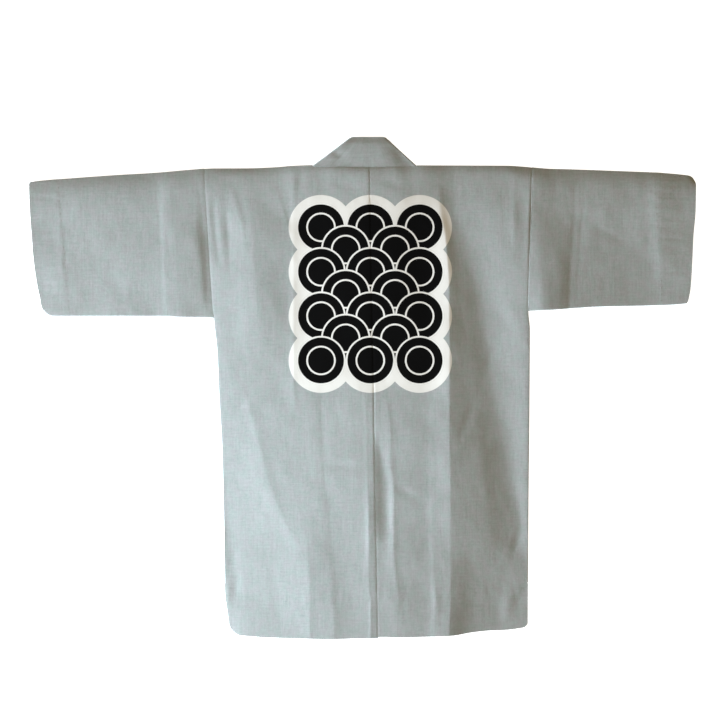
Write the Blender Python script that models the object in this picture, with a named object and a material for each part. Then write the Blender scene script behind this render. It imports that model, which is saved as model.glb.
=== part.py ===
"""Happi coat laid flat, back up: two body cloths, two sleeves and a collar band.

Each piece is a wall of cloth. Its middle surface is worked out from the tables below, and a Solidify
modifier gives that surface its thickness. The front layer lies flat at z = 0 and the back layer lies
over it. Tables are in millimetres, x to the right and y towards the collar, as seen from above.
"""

import math

import bmesh
import bpy
import numpy as np

MM = 0.001

# Walls and seams
CLOTH = 1.2  # wall of the cotton cloth
BAND = 2.0  # wall of the collar band, which is folded double
SEAM_GAP = 0.4  # between two pieces that are sewn together
ARC_STEPS = 6  # facets round a folded edge

# Heights of the middle of a wall above the surface that the coat lies on
FRONT_Z = CLOTH / 2
BAND_Z = BAND / 2
BACK_Z = 3.3  # back layer over a single front layer
BAND_LIFT = 0.6  # how much more the front bands lift the back layer
SIDE_Z = 2.4  # back layer at a side seam or an underarm seam
SHOULDER_Z = 3.2  # back layer where it turns over into the front layer
NECK_Z = 3.6  # standing part of the collar band

# Outline of the laid coat
SHOULDER = (  # x, y of the folded top edge, cuff to cuff
    (-650, 401.5), (-638, 403.3), (-604, 407), (-546, 411.5), (-468, 417), (-398, 421), (-328, 426.7),
    (-290, 428.6), (-223, 428.6), (-165, 431.5), (-140, 434.5), (-94, 436.4), (104, 435.4), (280, 434.5),
    (315, 432.5), (340, 430), (362, 428), (400, 426.5), (444, 424.7), (502, 422.7), (560, 421),
    (600, 418), (632, 415.5), (650, 413),
)  # fmt: skip
HEM = (  # x, y of the lower edge
    (-258, -482), (-223, -483.6), (-165, -485.5), (-118, -489.5), (-65, -491.4), (0, -489.5),
    (40, -485.8), (69, -487.5), (128, -485.5), (175, -483.6), (210, -477.8), (245, -473.9),
    (280, -471), (322, -465),
)  # fmt: skip
CENTRE = ((-490, 29.6), (430, 13.8))  # y, x of the centre back seam and of the front opening under it
HEM_DEPTH = 76.0

# Each body cloth. Guide lines are y, x. Columns of the mesh run along them, so that a pressed crease
# falls on a column. Steps are the shares of the way from one guide to the next at which columns lie.
BODIES = {
    "left": {
        "outward": -1,
        "side": (
            (-490, -257), (-430, -262), (-395, -268), (-287, -270), (-121, -274), (-14, -280),
            (74, -284), (120, -289), (136, -290.6), (433, -309),
        ),
        "crease": ((-490, -100), (-336, -116), (-121, -128), (5, -134), (433, -134)),
        "neck": ((-490, -62), (433, -93.4)),
        "steps": ((0, 0.03, 0.1, 0.25, 0.41, 0.57, 0.72, 0.86), (0, 0.5), (0, 0.25, 0.5, 0.75, 1)),
        "underarm": 134.0,
        "slit": -379.0,
        "hem_corner": 20.0,
    },
    "right": {
        "outward": 1,
        "side": (
            (-490, 321.5), (-375, 322.3), (-218, 323.5), (0, 325.5), (113, 326), (150, 323.5), (433, 330),
        ),
        "crease": ((-490, 175), (-14, 171), (433, 160)),
        "neck": ((-490, 110), (433, 106.7)),
        "steps": ((0, 0.03, 0.12, 0.25, 0.4, 0.55, 0.7, 0.85), (0, 0.5), (0, 0.25, 0.5, 0.75, 1)),
        "underarm": 147.5,
        "slit": -379.0,
        "hem_corner": 9.0,
    },
}  # fmt: skip
HEM_ROWS = (-490, -482, -466, -440, -490 + HEM_DEPTH)
ROW_STEP = 44.0  # about how far apart the rows of the plain stretches lie
SHOULDER_LINE = 433.0
ROLL_ROWS = (64, 40, 24, 12, 5, 0)  # below the shoulder line

# Each sleeve, a flattened tube
SLEEVES = {
    "left": {
        "outward": -1,
        "cuff": ((142, -624), (179, -630.8), (202, -634.7), (249, -640.6), (296, -644.5), (356, -648.4),
                 (403, -650.3)),
        "under": ((-620, 140.5), (-390, 140.4), (-375, 138.7), (-328, 138.5), (-290, 136.8)),
        "low_corner": 20.0,
        "top_corner": 4.0,
    },
    "right": {
        "outward": 1,
        "cuff": ((163, 634), (195, 640), (253, 644), (296, 646), (343, 650), (414, 650)),
        "under": ((323, 150.2), (372, 152.5), (420, 156), (467, 158.5), (572, 160.5), (620, 162.5),
                  (640, 164)),
        "low_corner": 4.0,
        "top_corner": 11.0,
    },
}  # fmt: skip
# Shares of the way from armhole to cuff, and distances from the underarm seam of a sleeve of SLEEVE_DEPTH
SLEEVE_COLUMNS = (0, 0.02, 0.06, 0.15, 0.27, 0.37, 0.47, 0.58, 0.69, 0.78, 0.83, 0.9, 0.96, 1)
SLEEVE_DEPTH = 285.0
SLEEVE_ROWS = (0, 4, 14, 50, 95, 140, 185, 221, 245, 261, 273, 280, 285)

# The collar band. Rows of a front band go down from the shoulder: y of its sewn edge, how far that
# edge is from the straight band's line towards the neck point (a share), how far its free edge is
# from the centre, and how far below the sewn edge's point the free edge's point lies.
BAND_WIDTH = 57.0
NECK_HALF = {"left": 105.3, "right": 91.0}
NECK_SEAM_Y = 430.2
BAND_TOP_Y = 491.4
BAND_TOP_HALF = {"left": 34.5, "right": 33.0}
BAND_TOP_SAG = 3.0  # the free edge is this much lower at its corners than at the middle
FRONT_BAND = (
    (434.0, 1.0, 36.5, -53.0),
    (425.0, 0.98, 43.0, -40.0),
    (413.0, 0.925, 46.5, -21.0),
    (390.0, 0.836, 46.0, -8.0),
    (343.0, 0.654, 36.0, 8.0),
    (269.0, 0.404, 21.5, 8.0),
    (210.0, 0.188, 9.7, 6.0),
    (170.0, 0.03, 1.5, 2.0),
    (130.0, 0.0, 0.6, 0.0),
    (-490.0, 0.0, 0.6, 0.0),
)
BAND_SECTIONS = 3  # strips across the width of the band
NECK_FANS = 4  # sections from the centre back to the neck point

# Folds of the back layer. Each has a power, 1 for a sharp crest and 2 for a round one, and rows of
# y, x, height, width to the left and width to the right.
FOLDS = {
    "left crease": (1, (
        (430, -134, 0.3, 25, 25), (60, -134, 0.8, 30, 30), (-121, -128, 1.4, 40, 30),
        (-336, -116, 1.8, 45, 35), (-490, -100, 1.6, 45, 40),
    )),
    "left diagonal": (1, (
        (0, -240, 0.0, 20, 20), (-32, -223, 0.7, 30, 25), (-219, -170, 1.2, 35, 25),
        (-336, -112, 0.0, 30, 25),
    )),
    "right crease": (1, (
        (380, 161, -0.4, 20, 25), (200, 165, 0.4, 25, 25), (-14, 171, 1.3, 40, 30),
        (-250, 173, 1.7, 45, 35), (-490, 175, 1.6, 45, 35),
    )),
    "right valley": (2, (
        (395, 192, 0.0, 30, 25), (330, 196, -0.8, 34, 28), (138, 222, -1.5, 40, 30),
        (-39, 266, -1.5, 40, 28), (-219, 297, -1.0, 30, 20), (-330, 312, 0.0, 25, 12),
    )),
    "left armhole edge": (1, (
        (430, -309, 0.8, 9, 22), (150, -291, 0.8, 9, 22), (100, -286, 0.0, 9, 20),
    )),
    "left sleeve crease": (1, (
        (422, -398, 0.8, 25, 25), (280, -389, 1.2, 30, 30), (140, -380, 0.9, 25, 25),
    )),
    "right sleeve crease": (1, (
        (425, 412, 0.8, 28, 22), (280, 403, 1.2, 32, 25), (155, 397, 0.9, 30, 25),
    )),
    "right armhole edge": (1, (
        (433, 330, 0.5, 20, 12), (150, 323, 0.5, 20, 12), (100, 326, 0.0, 20, 12),
    )),
}  # fmt: skip
SIDE_ROLL = 7.0  # how fast the back layer rises from a seam that it turns under at
SHOULDER_ROLL = 2.0  # how far the cloth springs up behind a folded edge
ROLL_CREST = 15.0  # how far from the edge

CLOTH_COLOUR = (0.42, 0.47, 0.47, 1)
COLOURS = {
    "body_left": CLOTH_COLOUR,
    "body_right": (0.40, 0.45, 0.45, 1),
    "sleeve_left": (0.44, 0.49, 0.49, 1),
    "sleeve_right": (0.38, 0.43, 0.43, 1),
    "collar": (0.34, 0.40, 0.41, 1),
}
ROUGHNESS = 0.85


def read(table, key):
    """Value at key on the broken line through the rows (key, value) of a table."""
    keys, values = np.array(sorted(table), dtype=float).T
    return np.interp(key, keys, values)


def lift(x, y):
    """Height that the folds add at points x, y: for each, its height times exp(-(away / width) ** power)."""
    total = np.zeros(np.broadcast(x, y).shape)
    for power, rows in FOLDS.values():
        at, line, height, left, right = np.array(sorted(rows), dtype=float).T
        away = x - np.interp(y, at, line)
        width = np.where(away < 0, np.interp(y, at, left), np.interp(y, at, right))
        share = np.exp(-((np.abs(away) / width) ** power))
        total += np.interp(y, at, height, left=0, right=0) * share
    return total


def over_band(x, y):
    """Height that the two front bands, side by side under the back layer, add to it."""
    away = np.abs(x - read(CENTRE, y)) - BAND_WIDTH
    return BAND_LIFT / (1 + np.exp(np.clip(away / 6, -30, 30)))


def shoulder_roll(height, depth):
    """Height near a folded edge: starts at SHOULDER_Z, springs up to a crest and settles to height."""
    settled = height + (SHOULDER_Z - height) * np.exp(-depth / 6)
    share = depth / ROLL_CREST
    return settled + SHOULDER_ROLL * share * np.exp(1 - share)


def seam_roll(height, depth):
    """Height near a seam that the cloth turns under at: rises from SIDE_Z to height."""
    return SIDE_Z + (height - SIDE_Z) * (1 - np.exp(-depth / SIDE_ROLL))


def round_corner(x, y, side_x, edge_y, across, along, radius):
    """Rounds the corner at side_x, edge_y: the square of the corner's radius is mapped to a quarter disc."""
    a = np.clip(1 - np.abs(x - side_x) / radius, 0, 1)
    b = np.clip(1 - np.abs(y - edge_y) / radius, 0, 1)
    x = x + across * radius * a * (np.sqrt(1 - b**2 / 2) - 1)
    y = y + along * radius * b * (np.sqrt(1 - a**2 / 2) - 1)
    return x, y


def arc(start, end, out):
    """Points of a half ellipse from start to end that bulges towards out, without its two ends."""
    start, end, out = (np.asarray(v, dtype=float) for v in (start, end, out))
    middle, half = (start + end) / 2, (start - end) / 2
    turns = [math.pi * k / ARC_STEPS for k in range(1, ARC_STEPS)]
    reach = np.linalg.norm(half, axis=-1, keepdims=True)
    return [middle + half * math.cos(t) + out * reach * math.sin(t) for t in turns]


class Surface:
    """A middle surface, gathered as points and quads. Grids of the same points are joined by their ids."""

    def __init__(self):
        self.points = []
        self.quads = []

    def add(self, points):
        """Adds an array of points, shape (..., 3) in millimetres, and returns their ids in that shape."""
        flat = np.asarray(points, dtype=float).reshape(-1, 3)
        ids = np.arange(len(flat)) + len(self.points)
        self.points += [tuple(p * MM) for p in flat]
        return ids.reshape(np.shape(points)[:-1])

    def join(self, ids):
        """Adds the quads between neighbours in a matrix of ids."""
        a, b, c, d = ids[:-1, :-1], ids[:-1, 1:], ids[1:, 1:], ids[1:, :-1]
        self.quads += np.stack([a, b, c, d], axis=-1).reshape(-1, 4).tolist()

    def make(self, name, wall):
        """Makes the object: the surface, its faces turned the same way, and a wall of even thickness."""
        mesh = bpy.data.meshes.new(name)
        bm = bmesh.new()
        verts = [bm.verts.new(p) for p in self.points]
        for quad in self.quads:
            bm.faces.new([verts[i] for i in quad])
        bmesh.ops.recalc_face_normals(bm, faces=bm.faces)
        bm.to_mesh(mesh)
        bm.free()
        mesh.shade_smooth()
        made = bpy.data.objects.new(name, mesh)
        bpy.context.scene.collection.objects.link(made)
        solid = made.modifiers.new("Wall", "SOLIDIFY")
        solid.thickness = wall * MM
        solid.offset = 0
        solid.use_even_offset = True
        solid.use_quality_normals = True
        mesh.materials.append(cloth_material(name))
        return made


def cloth_material(name):
    """Matt cotton in the piece's own shade."""
    made = bpy.data.materials.new(name)
    made.use_nodes = True
    shader = made.node_tree.nodes["Principled BSDF"]
    shader.inputs["Base Color"].default_value = COLOURS[name]
    shader.inputs["Roughness"].default_value = ROUGHNESS
    shader.inputs["Metallic"].default_value = 0
    return made


def body_rows(plan):
    """Nominal y of the rows of a body cloth, hem to shoulder."""
    stretches = ((HEM_ROWS[-1], plan["slit"]), (plan["slit"], plan["underarm"]))
    rows = list(HEM_ROWS)
    for low, high in stretches:
        steps = max(1, round((high - low) / ROW_STEP))
        rows += [low + (high - low) * k / steps for k in range(1, steps + 1)]
    low, high = plan["underarm"] + 8, SHOULDER_LINE - ROLL_ROWS[0]
    steps = round((high - low) / ROW_STEP)
    rows += [low + (high - low) * k / steps for k in range(steps + 1)]
    return np.array(rows + [SHOULDER_LINE - down for down in ROLL_ROWS[1:]], dtype=float)


def fit_rows(plan, rows, hem, top):
    """Bends the nominal rows so that the first follows the hem and the last the top edge."""
    low = np.clip((plan["slit"] - rows) / (plan["slit"] - rows[0]), 0, 1)[:, None]
    high = np.clip((rows - plan["underarm"] - 8) / (rows[-1] - plan["underarm"] - 8), 0, 1)[:, None]
    return rows[:, None] + low * (hem - rows[0]) + high * (top - rows[-1])


def side_inset(plan, y):
    """How far the middle surface stays inside the outline at the side: half the fold of the closed seam."""
    closed = (y > plan["slit"] - 1) & (y < plan["underarm"] + 1)
    return np.where(closed, CLOTH / 2 + (SIDE_Z - FRONT_Z) / 2, 0)


def body_columns(plan, y):
    """x of every column of the back layer at rows y, and the number of the column at the neck point."""
    guides = [read(plan[g], y) for g in ("side", "crease", "neck")] + [read(CENTRE, y)]
    guides[0] = guides[0] - plan["outward"] * side_inset(plan, y)
    guides[3] = guides[3] + plan["outward"] * SEAM_GAP / 2
    columns = []
    for near, far, steps in zip(guides, guides[1:], plan["steps"]):
        columns += [near + (far - near) * share for share in steps]
    return columns, len(plan["steps"][0]) + len(plan["steps"][1])


def band_edge(side, y):
    """x of the sewn edge of a front band at y."""
    share = read([(row[0], row[1]) for row in FRONT_BAND], y)
    half = BAND_WIDTH + share * (NECK_HALF[side] - BAND_WIDTH)
    return read(CENTRE, y) + BODIES[side]["outward"] * half


def body_layers(side):
    """Points of the back layer and of the front layer of a body cloth, rows from hem to shoulder."""
    plan = BODIES[side]
    out = plan["outward"]
    rows = body_rows(plan)
    nominal, neck = body_columns(plan, rows)
    nominal = np.stack(nominal, axis=1)
    fold = (SHOULDER_Z - FRONT_Z) / 2 + CLOTH / 2
    top = read(SHOULDER, nominal[-1]) - fold
    neck_top = top[neck]
    inner = (nominal[-1, neck:] - nominal[-1, neck]) / (nominal[-1, -1] - nominal[-1, neck])
    top[neck:] = neck_top + (NECK_SEAM_Y - SEAM_GAP - neck_top) * inner

    y = fit_rows(plan, rows, read(HEM, nominal[0]), top)
    x = np.stack([body_columns(plan, y[:, i])[0][i] for i in range(y.shape[1])], axis=1)
    depth = top - y
    aside = np.abs(x - x[:, :1])
    z = BACK_Z + over_band(x, y) + lift(x, y)
    z = np.where(np.arange(x.shape[1]) <= neck, shoulder_roll(z, depth), z)
    z[:, neck + 1 :] += (NECK_Z - z[:, neck + 1 :]) * np.exp(-depth[:, neck + 1 :] / 10)
    closed = np.clip((plan["underarm"] + 40 - y) / 40, 0, 1)
    z = z + closed * (seam_roll(z, aside) - z)
    corner = (x[:1, :1], y[:1, :1])
    x, y = round_corner(x, y, *corner, out, -1, plan["hem_corner"])
    back = np.stack([x, y, z], axis=-1)

    shares = (nominal[-1, : neck + 1] - nominal[-1, 0]) / (nominal[-1, neck] - nominal[-1, 0])
    sides = read(plan["side"], rows) - out * side_inset(plan, rows)
    edge = band_edge(side, rows) + out * SEAM_GAP
    edge[-1] = nominal[-1, neck]
    x = sides[:, None] + shares * (edge - sides)[:, None]
    y = fit_rows(plan, rows, read(HEM, x[0]), top[: neck + 1])
    x, y = round_corner(x, y, *corner, out, -1, plan["hem_corner"])
    front = np.stack([x, y, np.full_like(x, FRONT_Z)], axis=-1)
    front[:, 0, :2] = back[:, 0, :2]
    return back, front, neck


def body(side):
    """A body cloth: back layer, over the shoulder, front layer, closed at the side seam."""
    plan = BODIES[side]
    back, front, neck = body_layers(side)
    surface = Surface()
    back_ids = surface.add(back)
    front_ids = surface.add(front)
    over = [surface.add(p) for p in arc(back[-1, : neck + 1], front[-1], (0, 1, 0))]
    sheet = [*back_ids[:, : neck + 1], *over, *front_ids[::-1]]
    surface.join(np.array(sheet))
    surface.join(back_ids[:, neck:])

    rows = body_rows(plan)
    closed = np.flatnonzero((rows > plan["slit"] - 1) & (rows < plan["underarm"] + 1))
    low, high = closed[0], closed[-1] + 1
    turned = arc(back[low:high, 0], front[low:high, 0], (plan["outward"], 0, 0))
    seam = [back_ids[low:high, 0], *(surface.add(p) for p in turned), front_ids[low:high, 0]]
    surface.join(np.array(seam))
    return surface.make(f"body_{side}", CLOTH)


def sleeve(side):
    """A sleeve: a flat tube, folded at the top, closed underneath and open at armhole and cuff."""
    plan = SLEEVES[side]
    out = plan["outward"]
    arm = BODIES[side]["side"]
    rows = np.array(SLEEVE_ROWS, dtype=float)[:, None] / SLEEVE_DEPTH
    shares = np.array(SLEEVE_COLUMNS)
    middle = read(plan["under"], -out) + SLEEVE_DEPTH / 2
    start, end = read(arm, middle), read(plan["cuff"], middle)
    nominal = start + (end - start) * shares
    low = read(plan["under"], nominal) + CLOTH / 2 + (SIDE_Z - FRONT_Z) / 2
    high = read(SHOULDER, nominal) - CLOTH / 2 - (SHOULDER_Z - FRONT_Z) / 2
    y = low + (high - low) * rows
    start = read(arm, y) + out * SEAM_GAP
    x = start + (read(plan["cuff"], y) - start) * shares

    z = BACK_Z + lift(x, y)
    z = shoulder_roll(z, high - y)
    z = seam_roll(z, y - low)
    x, y = round_corner(x, y, x[:1, -1:], y[:1, -1:], out, -1, plan["low_corner"])
    x, y = round_corner(x, y, x[-1:, -1:], y[-1:, -1:], out, 1, plan["top_corner"])
    back = np.stack([x, y, z], axis=-1)
    front = np.stack([x, y, np.full_like(x, FRONT_Z)], axis=-1)

    surface = Surface()
    back_ids = surface.add(back)
    front_ids = surface.add(front)
    over = [surface.add(p) for p in arc(back[-1], front[-1], (0, 1, 0))]
    under = [surface.add(p) for p in arc(front[0], back[0], (0, -1, 0))]
    loop = [*back_ids, *over, *front_ids[::-1], *under, back_ids[0]]
    surface.join(np.array(loop))
    return surface.make(f"sleeve_{side}", CLOTH)


def front_band(side):
    """Sewn and free edges of a front band, from the neck point down to the hem, at the body's own rows."""
    plan = BODIES[side]
    _, front, neck = body_layers(side)
    sewn = front[::-1, neck, :2].copy()
    sewn[:, 0] -= plan["outward"] * SEAM_GAP
    sewn[0, 0] = read(CENTRE, NECK_SEAM_Y) + plan["outward"] * NECK_HALF[side]
    sewn[0, 1] += SEAM_GAP
    keys = [row[0] for row in FRONT_BAND]
    away = read(list(zip(keys, (row[2] for row in FRONT_BAND))), sewn[:, 1])
    below = read(list(zip(keys, (row[3] for row in FRONT_BAND))), sewn[:, 1])
    free_y = sewn[:, 1] - below
    free = np.stack([read(CENTRE, free_y) + plan["outward"] * away, free_y], axis=-1)
    free[0] = top_corner(side)
    return sewn, free


def top_corner(side):
    """Where the free edge of the band turns over, at the top of the standing part."""
    out = BODIES[side]["outward"]
    return np.array([read(CENTRE, BAND_TOP_Y) + out * BAND_TOP_HALF[side], BAND_TOP_Y - BAND_TOP_SAG])


def collar():
    """The band: up one front, turned over at the neck point, across the back of the neck and down again."""
    across = np.linspace(0, 1, BAND_SECTIONS + 1)[:, None]
    radius = (NECK_Z - BAND_Z) / 2
    sections = {}
    for side, plan in BODIES.items():
        sewn, free = front_band(side)
        line = free[0] - sewn[0]
        outward = np.array([-line[1], line[0]]) / np.linalg.norm(line)
        outward *= math.copysign(1, outward[0] * plan["outward"])
        free[0] -= outward * (radius + BAND / 2)
        flat = [np.append(s + (f - s) * across, np.full_like(across, BAND_Z), axis=1)
                for s, f in zip(sewn, free)]  # fmt: skip
        turned = flat[0] + [0, 0, NECK_Z - BAND_Z]
        bend = arc(turned, flat[0], (*outward, 0))

        shares = np.arange(1, NECK_FANS)[:, None] / NECK_FANS
        middle_sewn = np.array([read(CENTRE, NECK_SEAM_Y), NECK_SEAM_Y])
        middle_free = np.array([read(CENTRE, BAND_TOP_Y), BAND_TOP_Y])
        low = middle_sewn + (sewn[0] - middle_sewn) * shares
        high = middle_free + (free[0] - middle_free) * shares
        high[:, 1] = middle_free[1] + (free[0, 1] - middle_free[1]) * shares[:, 0] ** 2
        fan = [np.append(s + (f - s) * across, np.full_like(across, NECK_Z), axis=1)
               for s, f in zip(low, high)]  # fmt: skip
        sections[side] = [*flat[::-1], *bend[::-1], turned, *fan[::-1]]
    centre = middle_sewn + (middle_free - middle_sewn) * across
    centre = np.append(centre, np.full_like(across, NECK_Z), axis=1)
    surface = Surface()
    ids = surface.add([*sections["left"], centre, *sections["right"][::-1]])
    surface.join(ids)
    return surface.make("collar", BAND)


def main():
    for old in list(bpy.data.objects):
        bpy.data.objects.remove(old, do_unlink=True)
    for side in BODIES:
        body(side)
        sleeve(side)
    collar()


main()
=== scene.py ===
"""Happi coat laid flat, back up: the finish of its cloth, folds, seams, stitches and back print.

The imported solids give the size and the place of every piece. Each piece here is a thin shell of cloth
on the form of its solid. Its middle surface is worked out from the tables below as whole arrays, and a
Solidify modifier gives it its wall. Tables are in millimetres, x to the right and y towards the collar,
as seen from above. The front layer lies at z = 0 and the back layer over it.
"""

import math

import bpy
import numpy as np
from bpy.props import FloatProperty, FloatVectorProperty, PointerProperty
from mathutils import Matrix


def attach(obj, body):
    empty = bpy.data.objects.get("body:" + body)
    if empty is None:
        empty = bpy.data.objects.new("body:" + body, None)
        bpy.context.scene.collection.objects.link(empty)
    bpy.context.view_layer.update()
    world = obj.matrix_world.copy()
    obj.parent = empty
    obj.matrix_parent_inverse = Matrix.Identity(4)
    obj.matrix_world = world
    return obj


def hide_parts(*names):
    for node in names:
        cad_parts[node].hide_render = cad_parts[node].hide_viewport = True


bl_info = {
    "name": "Happi Coat",
    "version": (1, 0, 0),
    "blender": (4, 5, 0),
    "location": "3D View > Sidebar > Happi Coat",
    "description": "Cotton happi coat laid flat, with its folds, seams and back print",
    "category": "Object",
}

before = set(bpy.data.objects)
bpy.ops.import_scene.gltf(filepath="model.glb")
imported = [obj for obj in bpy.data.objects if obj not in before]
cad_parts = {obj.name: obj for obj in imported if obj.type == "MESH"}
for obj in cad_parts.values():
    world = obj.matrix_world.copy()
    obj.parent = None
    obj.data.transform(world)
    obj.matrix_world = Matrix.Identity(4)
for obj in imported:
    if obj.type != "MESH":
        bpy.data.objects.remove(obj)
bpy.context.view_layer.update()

MM = 0.001
SEAM_GAP = 0.06  # between two pieces that are sewn together
LAYER_GAP = 0.03  # least room between the two layers over a swell of the front layer
# Rise or fall of the last strip at the centre back seam, so that its walls lean past each other
SEAM_TILT = 0.03
OVERLAP = 2.0  # how far the front opening lies to the right of the centre back seam

# Heights of the middle of a wall above the surface that the coat lies on
SHOULDER_Z = 1.8  # back layer where it turns over into the front layer
NECK_Z = 3.1  # standing part of the collar band
NECK_SEAM_Z = 3.8  # back layer under its sewn edge
SEAM_BULGE = 0.7  # how far the turn at a side or underarm seam stands out
UNDERARM_DROP, UNDERARM_WIDTH = 0.1, 2.0  # how far and how fast the back layer falls to an underarm seam
SIDE_DROP = {  # y and how far the back layer falls to a side seam, and how fast
    "left": (((150, 0.2), (-25, 0.1), (-122, 0), (-220, -0.25), (-317, -0.45), (-379, -0.4)), 5.0),
    "right": (((150, 0.2), (-122, 0.2), (-220, 0.12), (-317, -0.02), (-379, -0.02)), 4.0),
}
# How the back layer rises behind a folded or sewn edge: the share that rises at once, how fast in mm, and
# how fast the rest follows
BODY_EDGE = (0.47, 13.0, 45.0)
SLEEVE_EDGE = (1.0, 12.0, 45.0)
NECK_EDGE = (0.9, 13.0, 30.0)
NECK_TURN = (0.3, 2.5)  # how far and how fast the back layer falls into the neck seam
NECK_BLEND = 40.0  # from the neck point to where the neck's edge has taken over from the shoulder's
ARMHOLE_BLEND = 45.0  # from the armhole to where the body's edge has taken over from the sleeve's
# Rise of the shoulder's edge at the neck points, and how far along the shoulder it reaches
NECK_POINT_RISE = (1.3, 45.0)
FINE_COLUMNS = {  # x and reach of the places where a body's mesh is closer, for the creases there
    "left": ((13, 15), (-130, 14)),
    "right": ((24, 46), (168, 12)),
}
ARMHOLE_GROOVE = {  # depth and width of the turn into the armhole seam, on its two sides
    "left": ((0.10, 3.0), (0.05, 2.0)),
    "right": ((0.14, 2.5), (0.06, 2.0)),
}
EDGE_STEP = 0.15  # first step of a mesh in from its edge, so that its shading turns close to the edge
FOLD_STEPS = 10  # steps of a mesh round a fold
NO_HEM = 999.0  # distance to a line of hem stitches, for a piece that has none
BELOW_FOLD = 500.0  # a depth at which the turn over the shoulder has died out

# Depth of the cloth's turn into the centre seam, on its two sides
LEFT_GROOVE = ((430, 0.16), (200, 0.14), (0, 0.1), (-87, 0.18), (-142, 0.1), (-490, 0.1))
RIGHT_GROOVE = (
    (430, 0.04), (200, 0.04), (20, 0.14), (-33, 0.2), (-87, 0.12), (-142, 0.05), (-260, 0.05),
    (-306, 0.1), (-490, 0.1),
)  # fmt: skip
SEAM_WIDTH = (1.8, 2.8)  # and how fast it turns, on its two sides

# Outline of the laid coat
SHOULDER = (  # x, y of the folded top edge, cuff to cuff
    (-650, 400), (-638, 401.5), (-604, 405), (-546, 409.5), (-468, 415), (-398, 419), (-328, 425),
    (-290, 427.6), (-223, 427.9), (-165, 430.2), (-140, 432.4), (-94, 434), (104, 433.6), (280, 433),
    (315, 431), (340, 428.6), (362, 427), (400, 426), (444, 424.5), (502, 422.3), (560, 420),
    (600, 417), (632, 413.5), (650, 410),
)  # fmt: skip
HEM = (  # x, y of the lower edge
    (-258, -481), (-223, -483.5), (-194, -485.8), (-165, -487), (-118, -488.4), (-65, -489.4), (0, -487.5),
    (40, -485), (69, -486), (128, -484.6), (175, -482.6), (210, -476.8), (245, -472.9),
    (280, -471.5), (322, -465.5),
)  # fmt: skip
CENTRE = ((-490, 29.6), (430, 13.8))  # y, x of the centre back seam and of the front opening under it
SIDES = {  # y, x of the side seam and of the armhole above it
    "left": (
        (-490, -256), (-461, -259.7), (-430, -264), (-395, -268), (-287, -270), (-121, -274), (-14, -280),
        (74, -284), (120, -289), (136, -290.6), (433, -309),
    ),
    "right": (
        (-490, 321.5), (-375, 322.3), (-218, 323.5), (0, 325.5), (113, 326), (150, 323.2), (190, 324),
        (238, 325.2), (287, 327.2), (433, 331.2),
    ),
}  # fmt: skip
NECKS = {"left": ((-490, -62), (433, -97.0)), "right": ((-490, 110), (433, 105.0))}  # y, x
OUTWARD = {"left": -1, "right": 1}
UNDERARM = {"left": 134.0, "right": 147.5}
SLIT = -379.0  # top of the vents
HEM_START, SHOULDER_LINE = -490.0, 433.0  # nominal y of the first and last row of a body
CUFF_HEM = 60.0  # from the stitches of a cuff's hem to its edge
SLEEVE_HEIGHT = 285.0  # nominal, from the underarm seam to the fold
SLEEVE_MIDDLE = 142.0  # from the underarm seam to the line along which a sleeve's length is measured
HEM_CORNER = {"left": 22.0, "right": 9.0}  # radius of the lower corner at the side
SLEEVES = {
    "left": {
        "cuff": ((142, -622.5), (179, -629.3), (202, -634), (249, -640.6), (296, -644.5), (356, -648.4),
                 (403, -650.3)),
        "under": ((-620, 139.3), (-390, 139.2), (-375, 137.5), (-328, 136.9), (-290, 135.4)),
        "hem": ((148, -571.5), (386, -593)),
        "low_corner": 20.0,
        "top_corner": 4.0,
    },
    "right": {
        "cuff": ((163, 633), (195, 639), (253, 642.5), (296, 644.5), (343, 648.5), (414, 650)),
        "under": ((323, 149.5), (372, 151.4), (420, 154.8), (467, 157.5), (572, 159.8), (620, 162),
                  (640, 164)),
        "hem": ((183, 582), (390, 568.4)),
        "low_corner": 4.0,
        "top_corner": 16.0,
    },
}  # fmt: skip

# The collar band. Rows of a front band go down from the shoulder: y of its sewn edge, how far that
# edge is from the straight band's line towards the neck point (a share), how far its free edge is
# from the centre, and how far below the sewn edge's point the free edge's point lies.
BAND_WIDTH = 57.0
NECK_HALF = {"left": 109.0, "right": 89.3}
NECK_SEAM_Y = 430.2  # neck seam at the centre
NECK_SEAM_RISE = 2.0  # how much higher it is at the neck points
BAND_TOP_Y = 489.2
BAND_TOP_HALF = {"left": 38.0, "right": 31.0}
BAND_TOP_SAG = 0.9  # the free edge is this much lower at its corners than at the middle
# Relief of the standing part: its swell, its fall to the free edge, the height and width of its lip at the
# neck seam, and dents with x, y, depth, half width, half height and how far they lean to the right per rise
BAND_SWELL, BAND_FALL, BAND_LIP = 0.5, 0.9, (0.5, 8.0)
BAND_DENTS = ((76.5, 458, 1.1, 22, 30, -0.5), (-49, 457, 0.5, 9, 6, 0), (-40, 452, 0.3, 7, 16, 0.9))
FRONT_BAND = (
    (434.0, 1.0, 36.5, -53.0), (425.0, 0.98, 43.0, -40.0), (413.0, 0.925, 46.5, -21.0),
    (390.0, 0.836, 46.0, -8.0), (343.0, 0.654, 36.0, 8.0), (269.0, 0.404, 21.5, 8.0),
    (210.0, 0.188, 9.7, 6.0), (170.0, 0.03, 1.5, 2.0), (130.0, 0.0, 0.6, 0.0), (-490.0, 0.0, 0.6, 0.0),
)  # fmt: skip

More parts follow.
